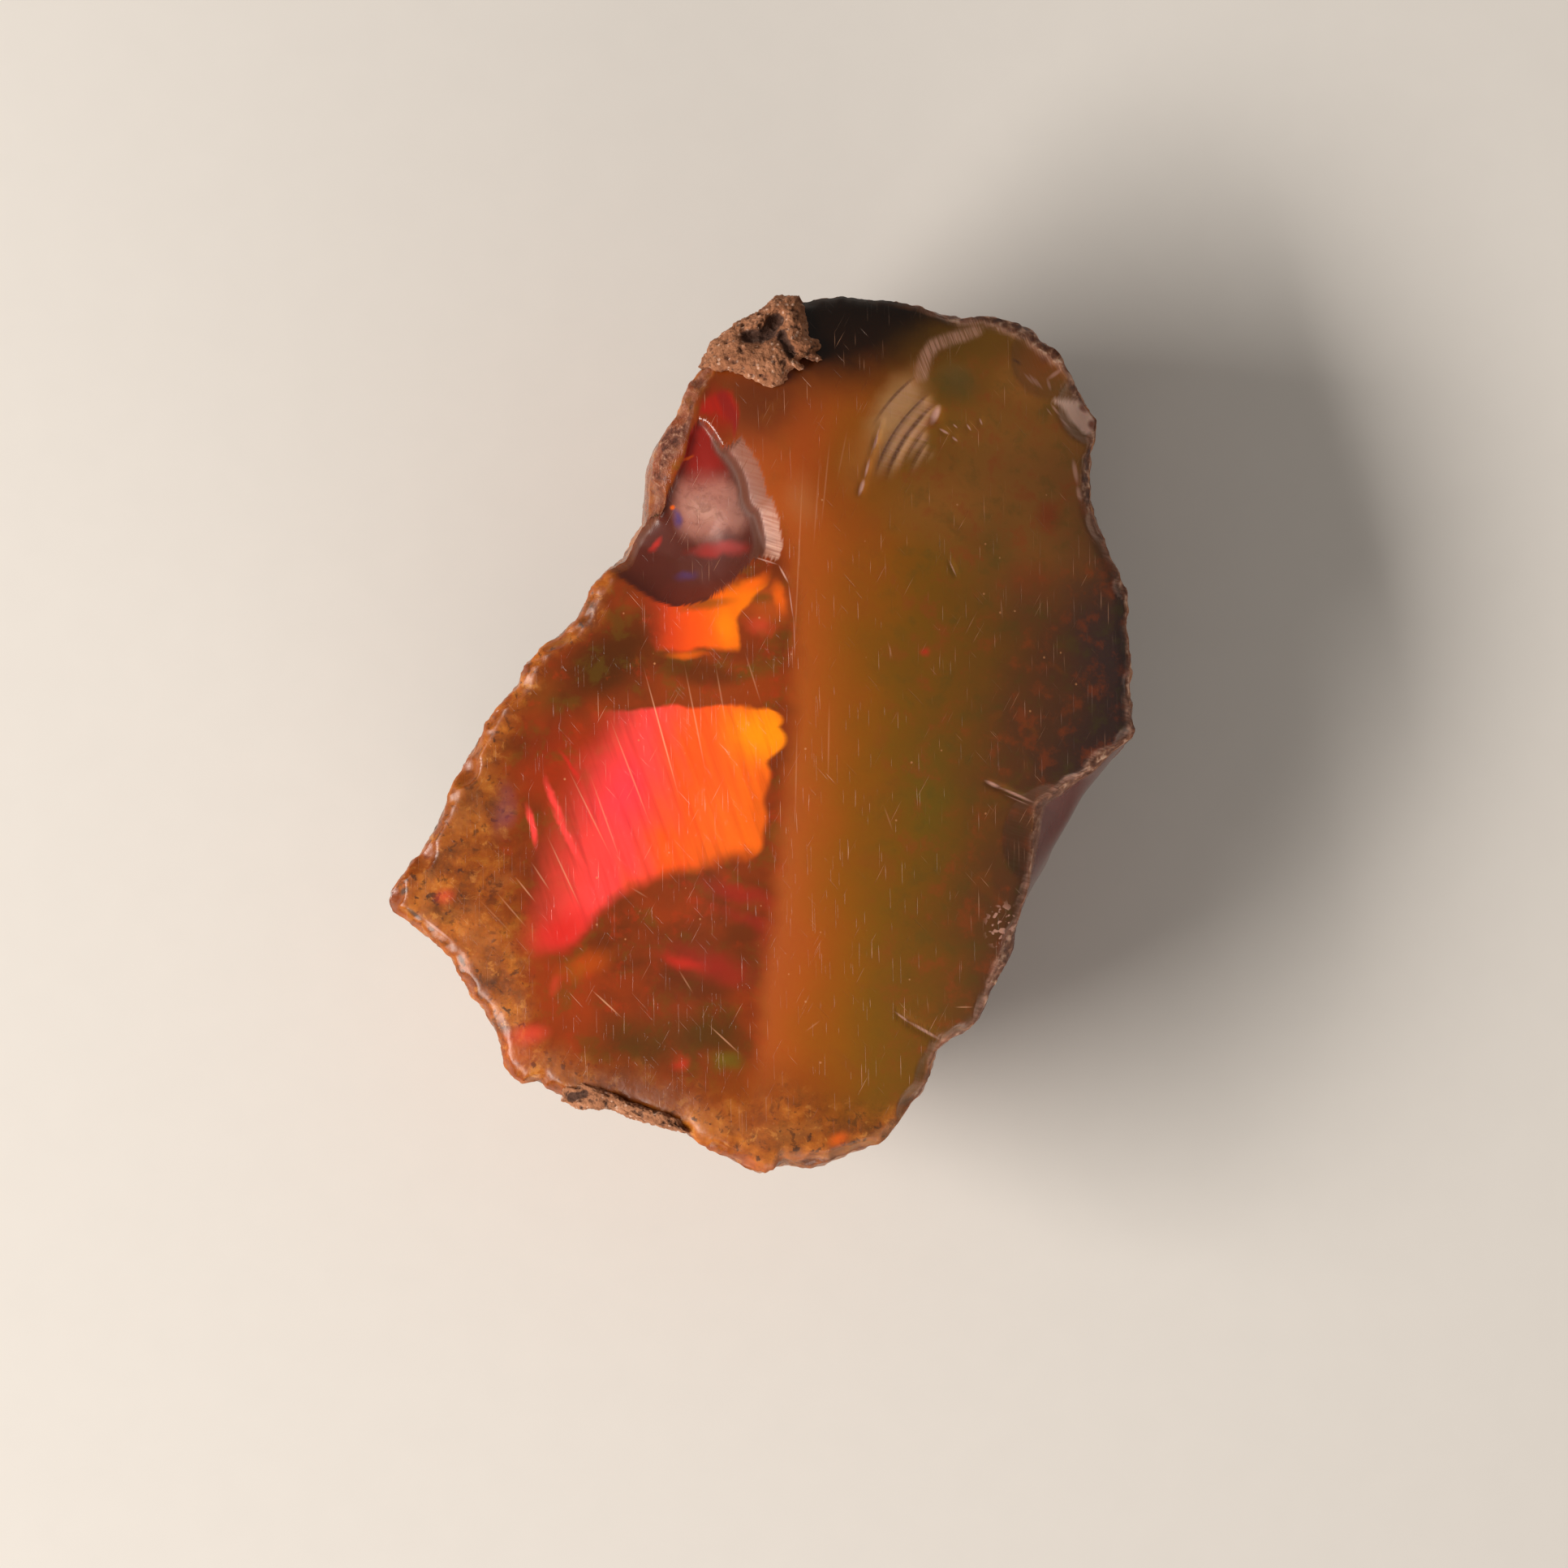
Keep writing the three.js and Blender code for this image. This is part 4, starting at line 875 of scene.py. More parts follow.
def small_chips(rim):
    """Seeded small breaks along the rim, most of them on its thin right edge."""
    draw = random.Random(11)
    chips = []
    for _ in range(SMALL_CHIPS):
        x, y = rim[draw.randrange(len(rim))]
        out = np.array([x, y]) - HUB
        out /= np.linalg.norm(out)
        inset = draw.uniform(*SMALL_CHIP["out"])
        radius = SMALL_CHIP["radius"] + SMALL_CHIP["larger"] * draw.random() ** SMALL_CHIP["rarity"]
        lean = draw.uniform(*SMALL_CHIP["lean"])
        if y > GLASSY_TOP["y"] and GLASSY_TOP["from"] < x < GLASSY_TOP["to"]:
            continue
        depth = radius * draw.uniform(*SMALL_CHIP["depth"])
        frost = draw.uniform(*SMALL_CHIP["frost"]) if x > 4 else SMALL_CHIP["frost"][0]
        chips.append((x + out[0] * inset, y + out[1] * inset, radius, depth, lean, frost))
    return chips


def mesh_object(name, points, faces, shares):
    """A smooth-shaded object from points in millimetres, with a named share from 0 to 1 for each point."""
    mesh = bpy.data.meshes.new(name)
    mesh.from_pydata((np.asarray(points) * MM).tolist(), [], faces)
    for share_name, values in shares.items():
        layer = mesh.attributes.new(share_name, "FLOAT", "POINT")
        layer.data.foreach_set("value", np.asarray(values, np.float32))
    mesh.shade_smooth()
    mesh.update()
    made = bpy.data.objects.new(name, mesh)
    bpy.context.scene.collection.objects.link(made)
    return made


def swell_along_normals(made, heights):
    """Moves each point of an object along its normal, by heights in millimetres."""
    mesh = made.data
    places = np.empty(len(mesh.vertices) * 3)
    normals = np.empty(len(mesh.vertices) * 3)
    mesh.vertices.foreach_get("co", places)
    mesh.vertex_normals.foreach_get("vector", normals)
    moved = places + normals * np.repeat(heights * MM, 3)
    mesh.vertices.foreach_set("co", moved)
    mesh.update()


def build_opal(relief):
    """The opal's mesh: the broad face and its breaks, the crumbly rim, the skin and the flat it rests on."""
    points, faces, shares, rim = stone_net()
    skin, broad, near_rim = shares["skin"], shares["broad"], shares["near rim"]
    x, y = points[:, 0], points[:, 1]
    relief_at, frost, ripple = ripples_and_cracks(x, y)
    points[:, 2] += broad * relief_at
    frost = np.maximum(frost * broad, shares["frost"])
    swells = noise_at(points, FACE_SWELLS["per mm"], 2)
    points[:, 2] += broad * (1 - skin) * FACE_SWELLS["height"] * swells
    scar, bevel, step = cut_scar(points, broad, near_rim)
    points[scar, 2] += 0.8 * shares["wear"][scar]
    skin[scar] *= 0.8 * near_rim[scar] ** 2
    frost[scar] = 0
    # The bevel's pale frost stands also for the highlight on it, painted brighter low down
    frost = np.maximum(frost, bevel * np.interp(y, *BEVEL_FROST))
    for chip in CHIPS + small_chips(rim):
        pressed = press_out(points, *chip_ball(chip))
        frost[pressed] = np.maximum(frost[pressed], chip[-1] * (1 - skin[pressed]))
        skin[pressed] *= 0.6
    skin[cut_flanks(points)] = 0
    points[:, 2] = np.maximum(points[:, 2], 0)
    azimuth = np.degrees(np.arctan2(y, x)) + GLASSY_EDGE["sway"] * noise_at(points, GLASSY_EDGE["per mm"])
    fade, rise = GLASSY_EDGE["fade"], GLASSY_EDGE["rise"]
    for start, end, low, glassy in GLASSY_SIDES:
        around = ease(azimuth, start - fade, start + fade) * (1 - ease(azimuth, end - fade, end + fade))
        skin *= 1 - glassy * (1 - broad) * around * ease(points[:, 2], low - rise, low + rise)
    wavy_x, wavy_y = [axis + PAINTED_EDGE["sway"] * noise_at(points + shift, PAINTED_EDGE["per mm"])
                      for axis, shift in ((x, 0.0), (y, 9.0))]
    painted = {name: broad * share_within(wavy_x, wavy_y, *row) for name, row in PAINTED.items()}
    crumb = shares["crumb"]
    made = mesh_object("opal_stone", points, faces, {
        "skin": skin, "frost": frost, "broad": broad, "crumb": crumb * skin, "step": step,
        "strip": shares["strip"], "scar": scar * (1 - bevel), "ripple": ripple * broad, **painted})
    depth = np.where(broad > 0, SKIN_DEPTH["face"], SKIN_DEPTH["wall"])
    depth = depth + SKIN_DEPTH["crust"] * crumb + SKIN_DEPTH["rim"] * near_rim
    lumps = SKIN_LUMPS["lump"] * (lumps_at(points, SKIN_LUMPS["per mm"]) - 0.62)
    grain = SKIN_LUMPS["grain"] * noise_at(points, SKIN_LUMPS["grain per mm"], 4)
    crumbs = SKIN_LUMPS["crumb"] * (lumps_at(points, SKIN_LUMPS["crumbs per mm"]) - 0.6)
    height = relief * skin * (depth * (lumps + grain) + np.maximum(crumb, 0.6 * near_rim) * crumbs)
    height[points[:, 2] < 1e-6] = 0
    swell_along_normals(made, height)
    return made


def build_rock(name, outline, above, below, cavities, seed, relief):
    """A lump of porous host rock with cavities, by its outline from above, on the slope of the face."""
    share, turn, quads, edge = square_net(ROCK_CELLS)
    around = spaced(outline, 4 * ROCK_CELLS)
    middle = around.mean(axis=0)
    ragged = noise_at(np.column_stack([around, np.full(len(around), seed)]), ROCK_PER_MM["edge"], 4)
    around = middle + (around - middle) * (1 + 0.045 * ragged)[:, None]
    share = 1 - (1 - share) ** 1.7
    plan = middle + (along_outline(around, turn)[0] - middle) * share[:, None]
    bed = face_height(plan[:, 0], plan[:, 1]) - ROCK_BED
    bulge = np.sqrt(1 - share ** (2 / ROCK_FULLNESS))
    opened, dip = np.zeros((2, len(plan)))
    ragged = noise_at(np.column_stack([plan, np.full(len(plan), seed)]), ROCK_PER_MM["cavity"])
    for line, half_width, depth in cavities:
        in_widths = distance_to(plan[:, 0], plan[:, 1], line) / (half_width * (1 + 0.35 * ragged))
        near = np.exp(-in_widths ** 2)
        opened = np.maximum(opened, near)
        dip = np.maximum(dip, depth * near)
    top = np.column_stack([plan, bed + (above + ROCK_BED) * bulge - dip * bulge])
    bottom = np.column_stack([plan, bed - (below - ROCK_BED) * bulge])
    within = np.ones(len(plan), bool)
    within[edge] = False
    under = np.arange(len(plan))
    under[within] = len(plan) + np.arange(within.sum())
    points = np.concatenate([top, bottom[within]])
    faces = np.concatenate([quads, under[quads][:, ::-1]])
    moved = points + np.array([seed, 0, 0])
    pores = np.clip(noise_at(moved, ROCK_PER_MM["pore"], 2) - 0.2, 0, None)
    # Dark where the cavities open and where pores sink: painted shade in these recesses
    hollow = np.append(ease(opened, 0.25, 0.75), np.zeros(within.sum()))
    hollow = np.maximum(hollow, 0.6 * np.clip(4 * pores, 0, 1))
    made = mesh_object(name, points, faces.tolist(), {"hollow": hollow})
    lumps, crumbs = [ROCK_RELIEF[kind] * (lumps_at(moved, ROCK_PER_MM[kind]) - 0.6)
                     for kind in ("lump", "crumb")]
    swell_along_normals(made, relief * (lumps + crumbs - ROCK_RELIEF["pore"] * pores))
    return made


# Materials


def add_node(tree, kind, inputs=None, out=0, stops=(), curve=(), **settings):
    """Adds a node with its settings, and its inputs as values or as sockets to link.

    `stops` are those of its ramp, `curve` the points of its curve. Gives the output named or numbered `out`.
    """
    node = tree.nodes.new(kind)
    for name, value in settings.items():
        setattr(node, name, value)
    for key, value in (inputs or {}).items():
        if isinstance(value, bpy.types.NodeSocket):
            tree.links.new(value, node.inputs[key])
        else:
            node.inputs[key].default_value = value
    for number, (position, colour) in enumerate(stops):
        ramp = node.color_ramp.elements
        stop = ramp[number] if number < 2 else ramp.new(position)
        stop.position = position
        stop.color = linear(colour)
    for number, (position, height) in enumerate(curve):
        line = node.mapping.curves[0].points
        point = line[number] if number < 2 else line.new(position, height)
        point.location = (position, height)
    if curve:
        node.mapping.update()
    return node.outputs[out] if len(node.outputs) else None


def start_material(name):
    """A new material, its empty node tree, and the place in it in millimetres."""
    material = bpy.data.materials.new(name)
    material.use_nodes = True
    tree = material.node_tree
    tree.nodes.clear()
    place = add_node(tree, "ShaderNodeTexCoord", out="Object")
    point = add_node(tree, "ShaderNodeVectorMath", {0: place, "Scale": 1 / MM}, operation="SCALE")
    return material, tree, point


def patch_group():
    """The node group that lays one soft-edged patch of colour, made when it is first asked for.

    A point's reach in the patch's ellipse, 1 on its edge, is the length of its cross product with the axis.
    """
    name = "colour patch"
    if name in bpy.data.node_groups:
        return bpy.data.node_groups[name]
    tree = bpy.data.node_groups.new(name, "ShaderNodeTree")
    for socket, kind in (("Under", "Color"), ("Tint", "Color"), ("Point", "Vector"), ("Axis", "Vector"),
                         ("Centre", "Vector"), ("Core", "Float"), ("Strength", "Float")):
        tree.interface.new_socket(socket, in_out="INPUT", socket_type="NodeSocket" + kind)
    tree.interface.new_socket("Result", in_out="OUTPUT", socket_type="NodeSocketColor")
    given = add_node(tree, "NodeGroupInput").node.outputs
    placed = add_node(tree, "ShaderNodeVectorMath", {0: given["Point"], 1: given["Axis"]},
                      operation="CROSS_PRODUCT")
    reach = add_node(tree, "ShaderNodeVectorMath", {0: placed, 1: given["Centre"]}, out="Value",
                     operation="DISTANCE")
    share = add_node(tree, "ShaderNodeMapRange", {
        "Value": reach, "From Min": 1.0, "From Max": given["Core"], "To Max": given["Strength"]},
        interpolation_type="SMOOTHSTEP")
    laid = add_node(tree, "ShaderNodeMix", {"Factor": share, 6: given["Under"], 7: given["Tint"]}, out=2,
                    data_type="RGBA")
    add_node(tree, "NodeGroupOutput", {"Result": laid})
    return tree


def paint(tree, point, under, *layers):
    """Paints layers one over another, and gives the colour that results.

    A layer is a coat, as its share and its colour, or a patch at flat points, as a row of the tables above.
    """
    for layer in layers:
        if len(layer) == 2:
            share, colour = layer
            over = linear(colour) if isinstance(colour, str) else colour
            under = add_node(tree, "ShaderNodeMix", {"Factor": share, 6: under, 7: over}, out=2,
                             data_type="RGBA")
            continue
        label, tint, centre, half, turn, fade, strength = layer
        length, width = max(half), min(half)
        lean = math.radians(turn if half[0] == length else turn + 90)
        slope = math.sqrt(1 / width ** 2 - 1 / length ** 2)
        axis = Vector((slope * math.cos(lean), slope * math.sin(lean), 1 / length))
        under = add_node(tree, "ShaderNodeGroup", {
            "Under": under, "Tint": linear(tint), "Point": point, "Axis": axis,
            "Centre": Vector((*centre, 0)).cross(axis), "Core": 1 - fade, "Strength": strength,
        }, node_tree=patch_group(), label=label)
    return under


def line_patches(label, rows):
    """Rows of patches for thin straight lines, from the ends, half width, strength and tint of each."""
    patches = []
    for start, end, half_width, strength, tint in rows:
        run = np.array(end) - np.array(start)
        middle = (np.array(end) + np.array(start)) / 2
        turn = math.degrees(math.atan2(run[1], run[0]))
        half = (float(np.linalg.norm(run)) / 2 + half_width, half_width)
        patches.append((label, tint, tuple(middle.tolist()), half, turn, 0.8, strength))
    return patches


def side_of_line(tree, along, across, line, fade):
    """1 past a given line, 0 before it: its points are heights at places along, both in millimetres."""
    place = add_node(tree, "ShaderNodeMath", {0: along, 1: 1 / SPAN, 2: 0.5}, operation="MULTIPLY_ADD")
    points = [(0, line[0][1] / SPAN + 0.5), (1, line[-1][1] / SPAN + 0.5)]
    points += [(x / SPAN + 0.5, y / SPAN + 0.5) for x, y in line]
    edge = add_node(tree, "ShaderNodeFloatCurve", {"Value": place}, curve=points)
    height = add_node(tree, "ShaderNodeMath", {0: edge, 1: SPAN, 2: -SPAN / 2}, operation="MULTIPLY_ADD")
    past = add_node(tree, "ShaderNodeMath", {0: across, 1: height}, operation="SUBTRACT")
    return add_node(tree, "ShaderNodeMapRange", {
        "Value": past, "From Min": -fade / 2, "From Max": fade / 2}, interpolation_type="SMOOTHSTEP")


def ripple_stops():
    """Stops of a ramp over the radius from the blow: white for the painted highlight on each fall, black for
    the painted shade in its groove, else grey.
    """
    stops = []
    for radius, fall, *_ in RIPPLES:
        stops += [(radius - fall, "808080"), (radius - 0.03, "ffffff"), (radius + 0.01, "000000"),
                  (radius + 0.06, "000000"), (radius + 0.1, "808080")]
    stops = [((radius - RIPPLE_FROM) / (RIPPLE_TO - RIPPLE_FROM), colour) for radius, colour in sorted(stops)]
    return [stops[0], stops[-1]] + stops[1:-1]


def opal_patterns(tree, point):
    """Sockets by name: places in the stone, its noises, and the shares that its colours are laid by."""
    at = {name: add_node(tree, "ShaderNodeAttribute", out="Fac", attribute_name=name) for name in (
        "skin", "frost", "scar", "broad", "crumb", "step", "strip", "ripple", *PAINTED)}
    drift = add_node(tree, "ShaderNodeTexNoise", {"Vector": point, "Scale": 1.3, "Detail": 3.0}, out="Color")
    drifting = add_node(tree, "ShaderNodeVectorMath", {0: drift, 1: (0.5, 0.5, 0.5)}, operation="SUBTRACT")
    at["point"] = point
    at["bent"] = add_node(tree, "ShaderNodeVectorMath", {0: drifting, 1: (0.4, 0.4, 0), 2: point},
                          operation="MULTIPLY_ADD")
    for name, place in (("flat", "point"), ("bent flat", "bent")):
        at[name] = add_node(tree, "ShaderNodeVectorMath", {0: at[place], 1: (1, 1, 0)}, operation="MULTIPLY")
    at["x"], at["y"], _ = add_node(tree, "ShaderNodeSeparateXYZ", {0: point}).node.outputs
    at["bent x"], at["bent y"], _ = add_node(tree, "ShaderNodeSeparateXYZ", {0: at["bent"]}).node.outputs
    for name, place, scale, detail, roughness, twist in NOISES:
        at[name] = add_node(tree, "ShaderNodeTexNoise", {
            "Vector": at[place], "Scale": scale, "Detail": detail, "Roughness": roughness,
            "Distortion": twist})
    for name, start, turn, length, width, detail in STREAKS:
        place = add_node(tree, "ShaderNodeMapping", {
            "Vector": point, "Location": (start, 0, 0), "Rotation": (0, 0, math.radians(turn)),
            "Scale": (length, width, 1000)}, vector_type="TEXTURE")
        at[name] = add_node(tree, "ShaderNodeTexNoise", {"Vector": place, "Scale": 1.0, "Detail": detail})
    dust = add_node(tree, "ShaderNodeTexVoronoi", {"Vector": point, "Scale": 2.6}).node.outputs
    at["dust distance"] = dust["Distance"]
    at["dust tone"] = add_node(tree, "ShaderNodeSeparateColor", {0: dust["Color"]})
    x, y, width, height = PALE_GRAINS
    from_grains = add_node(tree, "ShaderNodeVectorMath", {0: at["flat"], 1: (x, y, 0)}, operation="SUBTRACT")
    in_halves = add_node(tree, "ShaderNodeVectorMath", {0: from_grains, 1: (width, height, 1)},
                         operation="DIVIDE")
    at["grain reach"] = add_node(tree, "ShaderNodeVectorMath", {0: in_halves}, out="Value",
                                 operation="LENGTH")

    for name, pattern, low, high, most in SHARES:
        at[name] = add_node(tree, "ShaderNodeMapRange", {
            "Value": at[pattern], "From Min": low, "From Max": high, "To Max": most},
            interpolation_type="SMOOTHSTEP")
    for name, along, across, line, fade in EDGES:
        at[name] = side_of_line(tree, at[along], at[across], line, fade)
    for name, part in REST_OF:
        at[name] = add_node(tree, "ShaderNodeMath", {0: 1.0, 1: at[part]}, operation="SUBTRACT")
    at["hackles"] = add_node(tree, "ShaderNodeMix", {
        "Factor": at["top"], "A": at["hackles"], "B": at["steep hackles"]})
    for name, span, least in (("hackles", 0.55, 0.28), ("curdled", 0.4, 0.52)):
        at[name] = add_node(tree, "ShaderNodeMath", {0: at[name], 1: span, 2: least},
                            operation="MULTIPLY_ADD")
    at["hairs"] = at["upright"]
    for name in ("slanted", "leaning"):
        at["hairs"] = add_node(tree, "ShaderNodeMath", {0: at["hairs"], 1: at[name]}, operation="MAXIMUM")
    for name, first, *others in PRODUCTS:
        at[name] = at[first]
        for other in others:
            at[name] = add_node(tree, "ShaderNodeMath", {0: at[name], 1: at[other]}, operation="MULTIPLY")
    return at


def window_colour(tree, at):
    """The clear window left of the crest, with cloudy bands 1 mm wide and two flashes of colour under it."""
    window = add_node(tree, "ShaderNodeValToRGB", {0: at["wisps"]}, stops=[
        (0.32, "682c0b"), (0.7, "8e350e"), (0.5, "window")])

    # The flash band: red and pink at the left, orange towards the right, with rays along it
    slant = add_node(tree, "ShaderNodeMath", {0: at["bent y"], 1: -0.2, 2: at["bent x"]},
                     operation="MULTIPLY_ADD")
    shaken = add_node(tree, "ShaderNodeMath", {0: at["rays"], 1: 1.6, 2: slant}, operation="MULTIPLY_ADD")
    along_band = add_node(tree, "ShaderNodeMapRange", {"Value": shaken, "From Min": -5.4, "From Max": 1.4})
    flash = add_node(tree, "ShaderNodeValToRGB", {0: along_band}, stops=[
        (0.0, "flash red"), (1.0, "flash orange"), (0.2, "flash pink"), (0.46, "flash pink"),
        (0.66, "fb561a")])
    flash = paint(tree, at["bent flat"], flash, *FLASH_PATCHES)
    streaks = add_node(tree, "ShaderNodeValToRGB", {0: at["fine rays"]}, stops=[
        (0.3, "c8c0c0"), (0.55, "ffffff")])
    flash = add_node(tree, "ShaderNodeMix", {"Factor": 0.6, 6: flash, 7: streaks}, out=2, data_type="RGBA",
                     blend_type="MULTIPLY")

    # The upper flash, red at its left end and orange at its right
    along_upper = add_node(tree, "ShaderNodeMapRange", {
        "Value": at["bent x"], "From Min": -3.0, "From Max": -0.5})
    upper = add_node(tree, "ShaderNodeValToRGB", {0: along_upper}, stops=[
        (0.0, "a8301a"), (1.0, "f27608"), (0.28, "d24216"), (0.55, "f45512"), (0.82, "f86e0a")])
    upper = paint(tree, at["bent flat"], upper, *UPPER_FLASH)
    return paint(tree, at["bent flat"], window, *UNDER_FLASH, (at["olive stain"], "5e4a10"),
                 (at["red mottle"], "a6300f"), (at["flash"], flash), *OVER_FLASH, (at["upper flash"], upper),
                 *BESIDE_CREST)


def veil_over(tree, at, window):
    """The hazy veil right of the crest: orange, then olive, brown and smoky grey towards the edge."""
    narrowing = add_node(tree, "ShaderNodeMath", {0: at["bent y"], 1: -0.03, 2: 1.03},
                         operation="MULTIPLY_ADD")
    veil_place = add_node(tree, "ShaderNodeMath", {0: at["bent x"], 1: narrowing}, operation="MULTIPLY")
    clouded = add_node(tree, "ShaderNodeMath", {0: at["cloud"], 1: 2.4, 2: veil_place},
                       operation="MULTIPLY_ADD")
    veil_share = add_node(tree, "ShaderNodeMapRange", {"Value": clouded, "From Min": 0.2, "From Max": 10.2})
    veil = add_node(tree, "ShaderNodeValToRGB", {0: veil_share}, stops=[
        (0.0, "a5481a"), (1.0, "402b26"), (0.22, "a45010"), (0.36, "925408"), (0.46, "80530a"),
        (0.62, "774c12"), (0.8, "643b1d")])
    return paint(tree, at["bent flat"], window, (at["veil"], veil), *VEIL_PATCHES, *OVER_SCAR,
                 (at["rust fleck"], "8a4a14"), (at["green fleck"], "504c18"), (at["ember fleck"], "96421a"))


def scar_over(tree, at, face):
    """The scar's dark floor with a milky painted reflection and streaks in it, and the red fan above it."""
    # The milky colour is a painted reflection of soft light on the scar's glassy floor
    milky = paint(tree, at["bent flat"], linear("milk"), *HAZE_PATCHES)
    floor = paint(tree, at["bent flat"], face, *SCAR_PATCHES, (at["haze"], milky), *OVER_HAZE)
    fan = add_node(tree, "ShaderNodeValToRGB", {0: at["rays"]}, stops=[
        (0.35, "crimson"), (0.65, "bright red")])
    return paint(tree, at["flat"], face, (at["red fan"], fan), (at["scar"], floor))


def ripples_over(tree, at, face):
    """The ripples: a pale painted highlight on each fall, and dark painted shade in its groove."""
    from_blow = add_node(tree, "ShaderNodeVectorMath", {0: at["flat"], 1: (*RIPPLE_CENTRE.tolist(), 0)},
                         out="Value", operation="DISTANCE")
    round_blow = add_node(tree, "ShaderNodeMapRange", {
        "Value": from_blow, "From Min": RIPPLE_FROM, "From Max": RIPPLE_TO})
    lines = add_node(tree, "ShaderNodeValToRGB", {0: round_blow}, stops=ripple_stops())
    line_tone = add_node(tree, "ShaderNodeRGBToBW", {0: lines})
    # Pale on the falls is a painted highlight, dark in the grooves painted shade
    for low, high, most, colour in ((0.22, 1.0, 0.9, "fan"), (0.2, 0.0, 0.75, "5f3510")):
        tone = add_node(tree, "ShaderNodeMapRange", {
            "Value": line_tone, "From Min": low, "From Max": high, "To Max": most})
        share = add_node(tree, "ShaderNodeMath", {0: tone, 1: at["ripple"]}, operation="MULTIPLY")
        face = paint(tree, at["flat"], face, (share, colour))
    return face


def lines_over(tree, at, face):
    """Scratches and cracks that stand out, then the many fine hairlines, and dust.

    Real scratches are a few thousandths of a millimetre wide. Here they are drawn 0.03 mm wide or more, so
    that they show.
    """
    scratches = [(start, end, SCRATCH_WIDTH, 0.65 * bright, "scratch") for start, end, bright in SCRATCHES]
    cracks = [(start, end, width, bright, "pale pink") for start, end, width, _, bright in CRACKS]
    return paint(tree, at["flat"], face, *line_patches("scratch", scratches), *line_patches("crack", cracks),
                 (at["shown hairs"], "scratch"), (at["dust"], "speck"))


def skin_over(tree, at, stone):
    """The natural skin, the chipped strip of the right-hand rim, frosted edges, a painted glint and painted
    shade.

    The skin has ochre and orange stains about 0.5 mm wide, with olive and dark veins between them and
    dark specks. At the upper left it is a brown, translucent crust with tan crumbs.
    """
    rind = add_node(tree, "ShaderNodeValToRGB", {0: at["stain"]}, stops=[
        (0.28, "4e2606"), (0.72, "d08030"), (0.4, "7a3c08"), (0.5, "964c0a"), (0.61, "b46418")])
    crust = add_node(tree, "ShaderNodeValToRGB", {0: at["crumble"]}, stops=[
        (0.36, "3a1a0e"), (0.66, "c49a80"), (0.48, "602f1e"), (0.56, "8a5a44")])
    rind = paint(tree, at["flat"], rind, (at["olive mottle"], "5e3e0c"), (at["pale mottle"], "b26c2c"),
                 (at["dark veins"], "442408"), (at["bright veins"], "ce883c"), (at["dark grit"], "2e1c12"),
                 (at["crumb"], crust))
    rind_share = add_node(tree, "ShaderNodeMath", {0: at["skin"], 1: 0.92}, operation="MULTIPLY")
    chipped = add_node(tree, "ShaderNodeValToRGB", {0: at["grit"]}, stops=[
        (0.36, "4a2616"), (0.66, "c8a088"), (0.5, "6e4028"), (0.58, "966a50")])
    # Over the skin: the ledge step's painted shade and the large chip's painted reflection
    stone = paint(tree, at["flat"], stone, (rind_share, rind), (at["strip"], chipped),
                  (at["frosted"], "pale edge"), (at["step"], "step"), (at["grains"], "pale pink"),
                  (at["bright chip"], "bright chip"))
    # The late patches, painted shade along the top rim among them, lie on the broad face only
    return paint(tree, at["flat"], stone, (at["broad"], paint(tree, at["flat"], stone, *SHADES)))


def opal_bump(tree, at):
    """Pores of the skin and of the chipped strip, crumbs of the crust, and hairlines, as a normal."""
    broken = add_node(tree, "ShaderNodeMath", {0: at["broad"], 1: -0.85, 2: 1.0}, operation="MULTIPLY_ADD")
    rough_skin = add_node(tree, "ShaderNodeMath", {0: at["skin"], 1: broken}, operation="MULTIPLY")
    crumbly = add_node(tree, "ShaderNodeMath", {0: at["strip"], 1: rough_skin}, operation="MAXIMUM")
    crumbled = add_node(tree, "ShaderNodeMath", {0: at["crumble"], 1: at["crumb"]}, operation="MULTIPLY")
    pores = add_node(tree, "ShaderNodeMath", {0: at["grit"], 1: crumbly, 2: crumbled},
                     operation="MULTIPLY_ADD")
    relief = add_node(tree, "ShaderNodeMath", {0: at["hairs"], 1: -0.08, 2: pores},
                      operation="MULTIPLY_ADD")
    return add_node(tree, "ShaderNodeBump", {"Height": relief, "Strength": 0.6, "Distance": 0.00012})


def opal_material(finish):
    """Precious opal, broken by hand and never polished.

    Hydrated silica glass from a volcanic rock: its breaks are shell-shaped and glassy, hairlines and a
    faint bloom dull the broad face, and the light that its packed spheres send back shows as red, orange
    and violet flashes. Where the rock touched it the stone keeps a dull, stained, knobbly skin.
    """
    material, tree, point = start_material("precious opal, broken face and natural skin")
    at = opal_patterns(tree, point)
    face = window_colour(tree, at)
    for lay_over in (veil_over, scar_over, ripples_over, lines_over):
        face = lay_over(tree, at, face)

    # Breaks of the sides and underside: the same stone in the shade, dark red-brown with embers in it
    sides = add_node(tree, "ShaderNodeValToRGB", {0: at["cloud"]}, stops=[
        (0.3, "low red"), (0.7, "74350d"), (0.5, "551f08")])
    stone = paint(tree, at["flat"], sides, (at["side ember"], "ember"), RED_FOOT, (at["broad"], face))
    stone = skin_over(tree, at, stone)

    # Gloss: glassy where it is clear, a fine bloom on the veil, dull skin
    roughness = finish.gloss
    for name, more in ROUGHER:
        roughness = add_node(tree, "ShaderNodeMath", {0: at[name], 1: more, 2: roughness},
                             operation="MULTIPLY_ADD")
    shader = add_node(tree, "ShaderNodeBsdfPrincipled", {
        "Base Color": stone, "Roughness": roughness, "IOR": 1.44, "Normal": opal_bump(tree, at),
        "Subsurface Weight": finish.glow, "Subsurface Radius": (1.0, 0.35, 0.12), "Subsurface Scale": 0.0006})
    add_node(tree, "ShaderNodeOutputMaterial", {"Surface": shader})
    return material


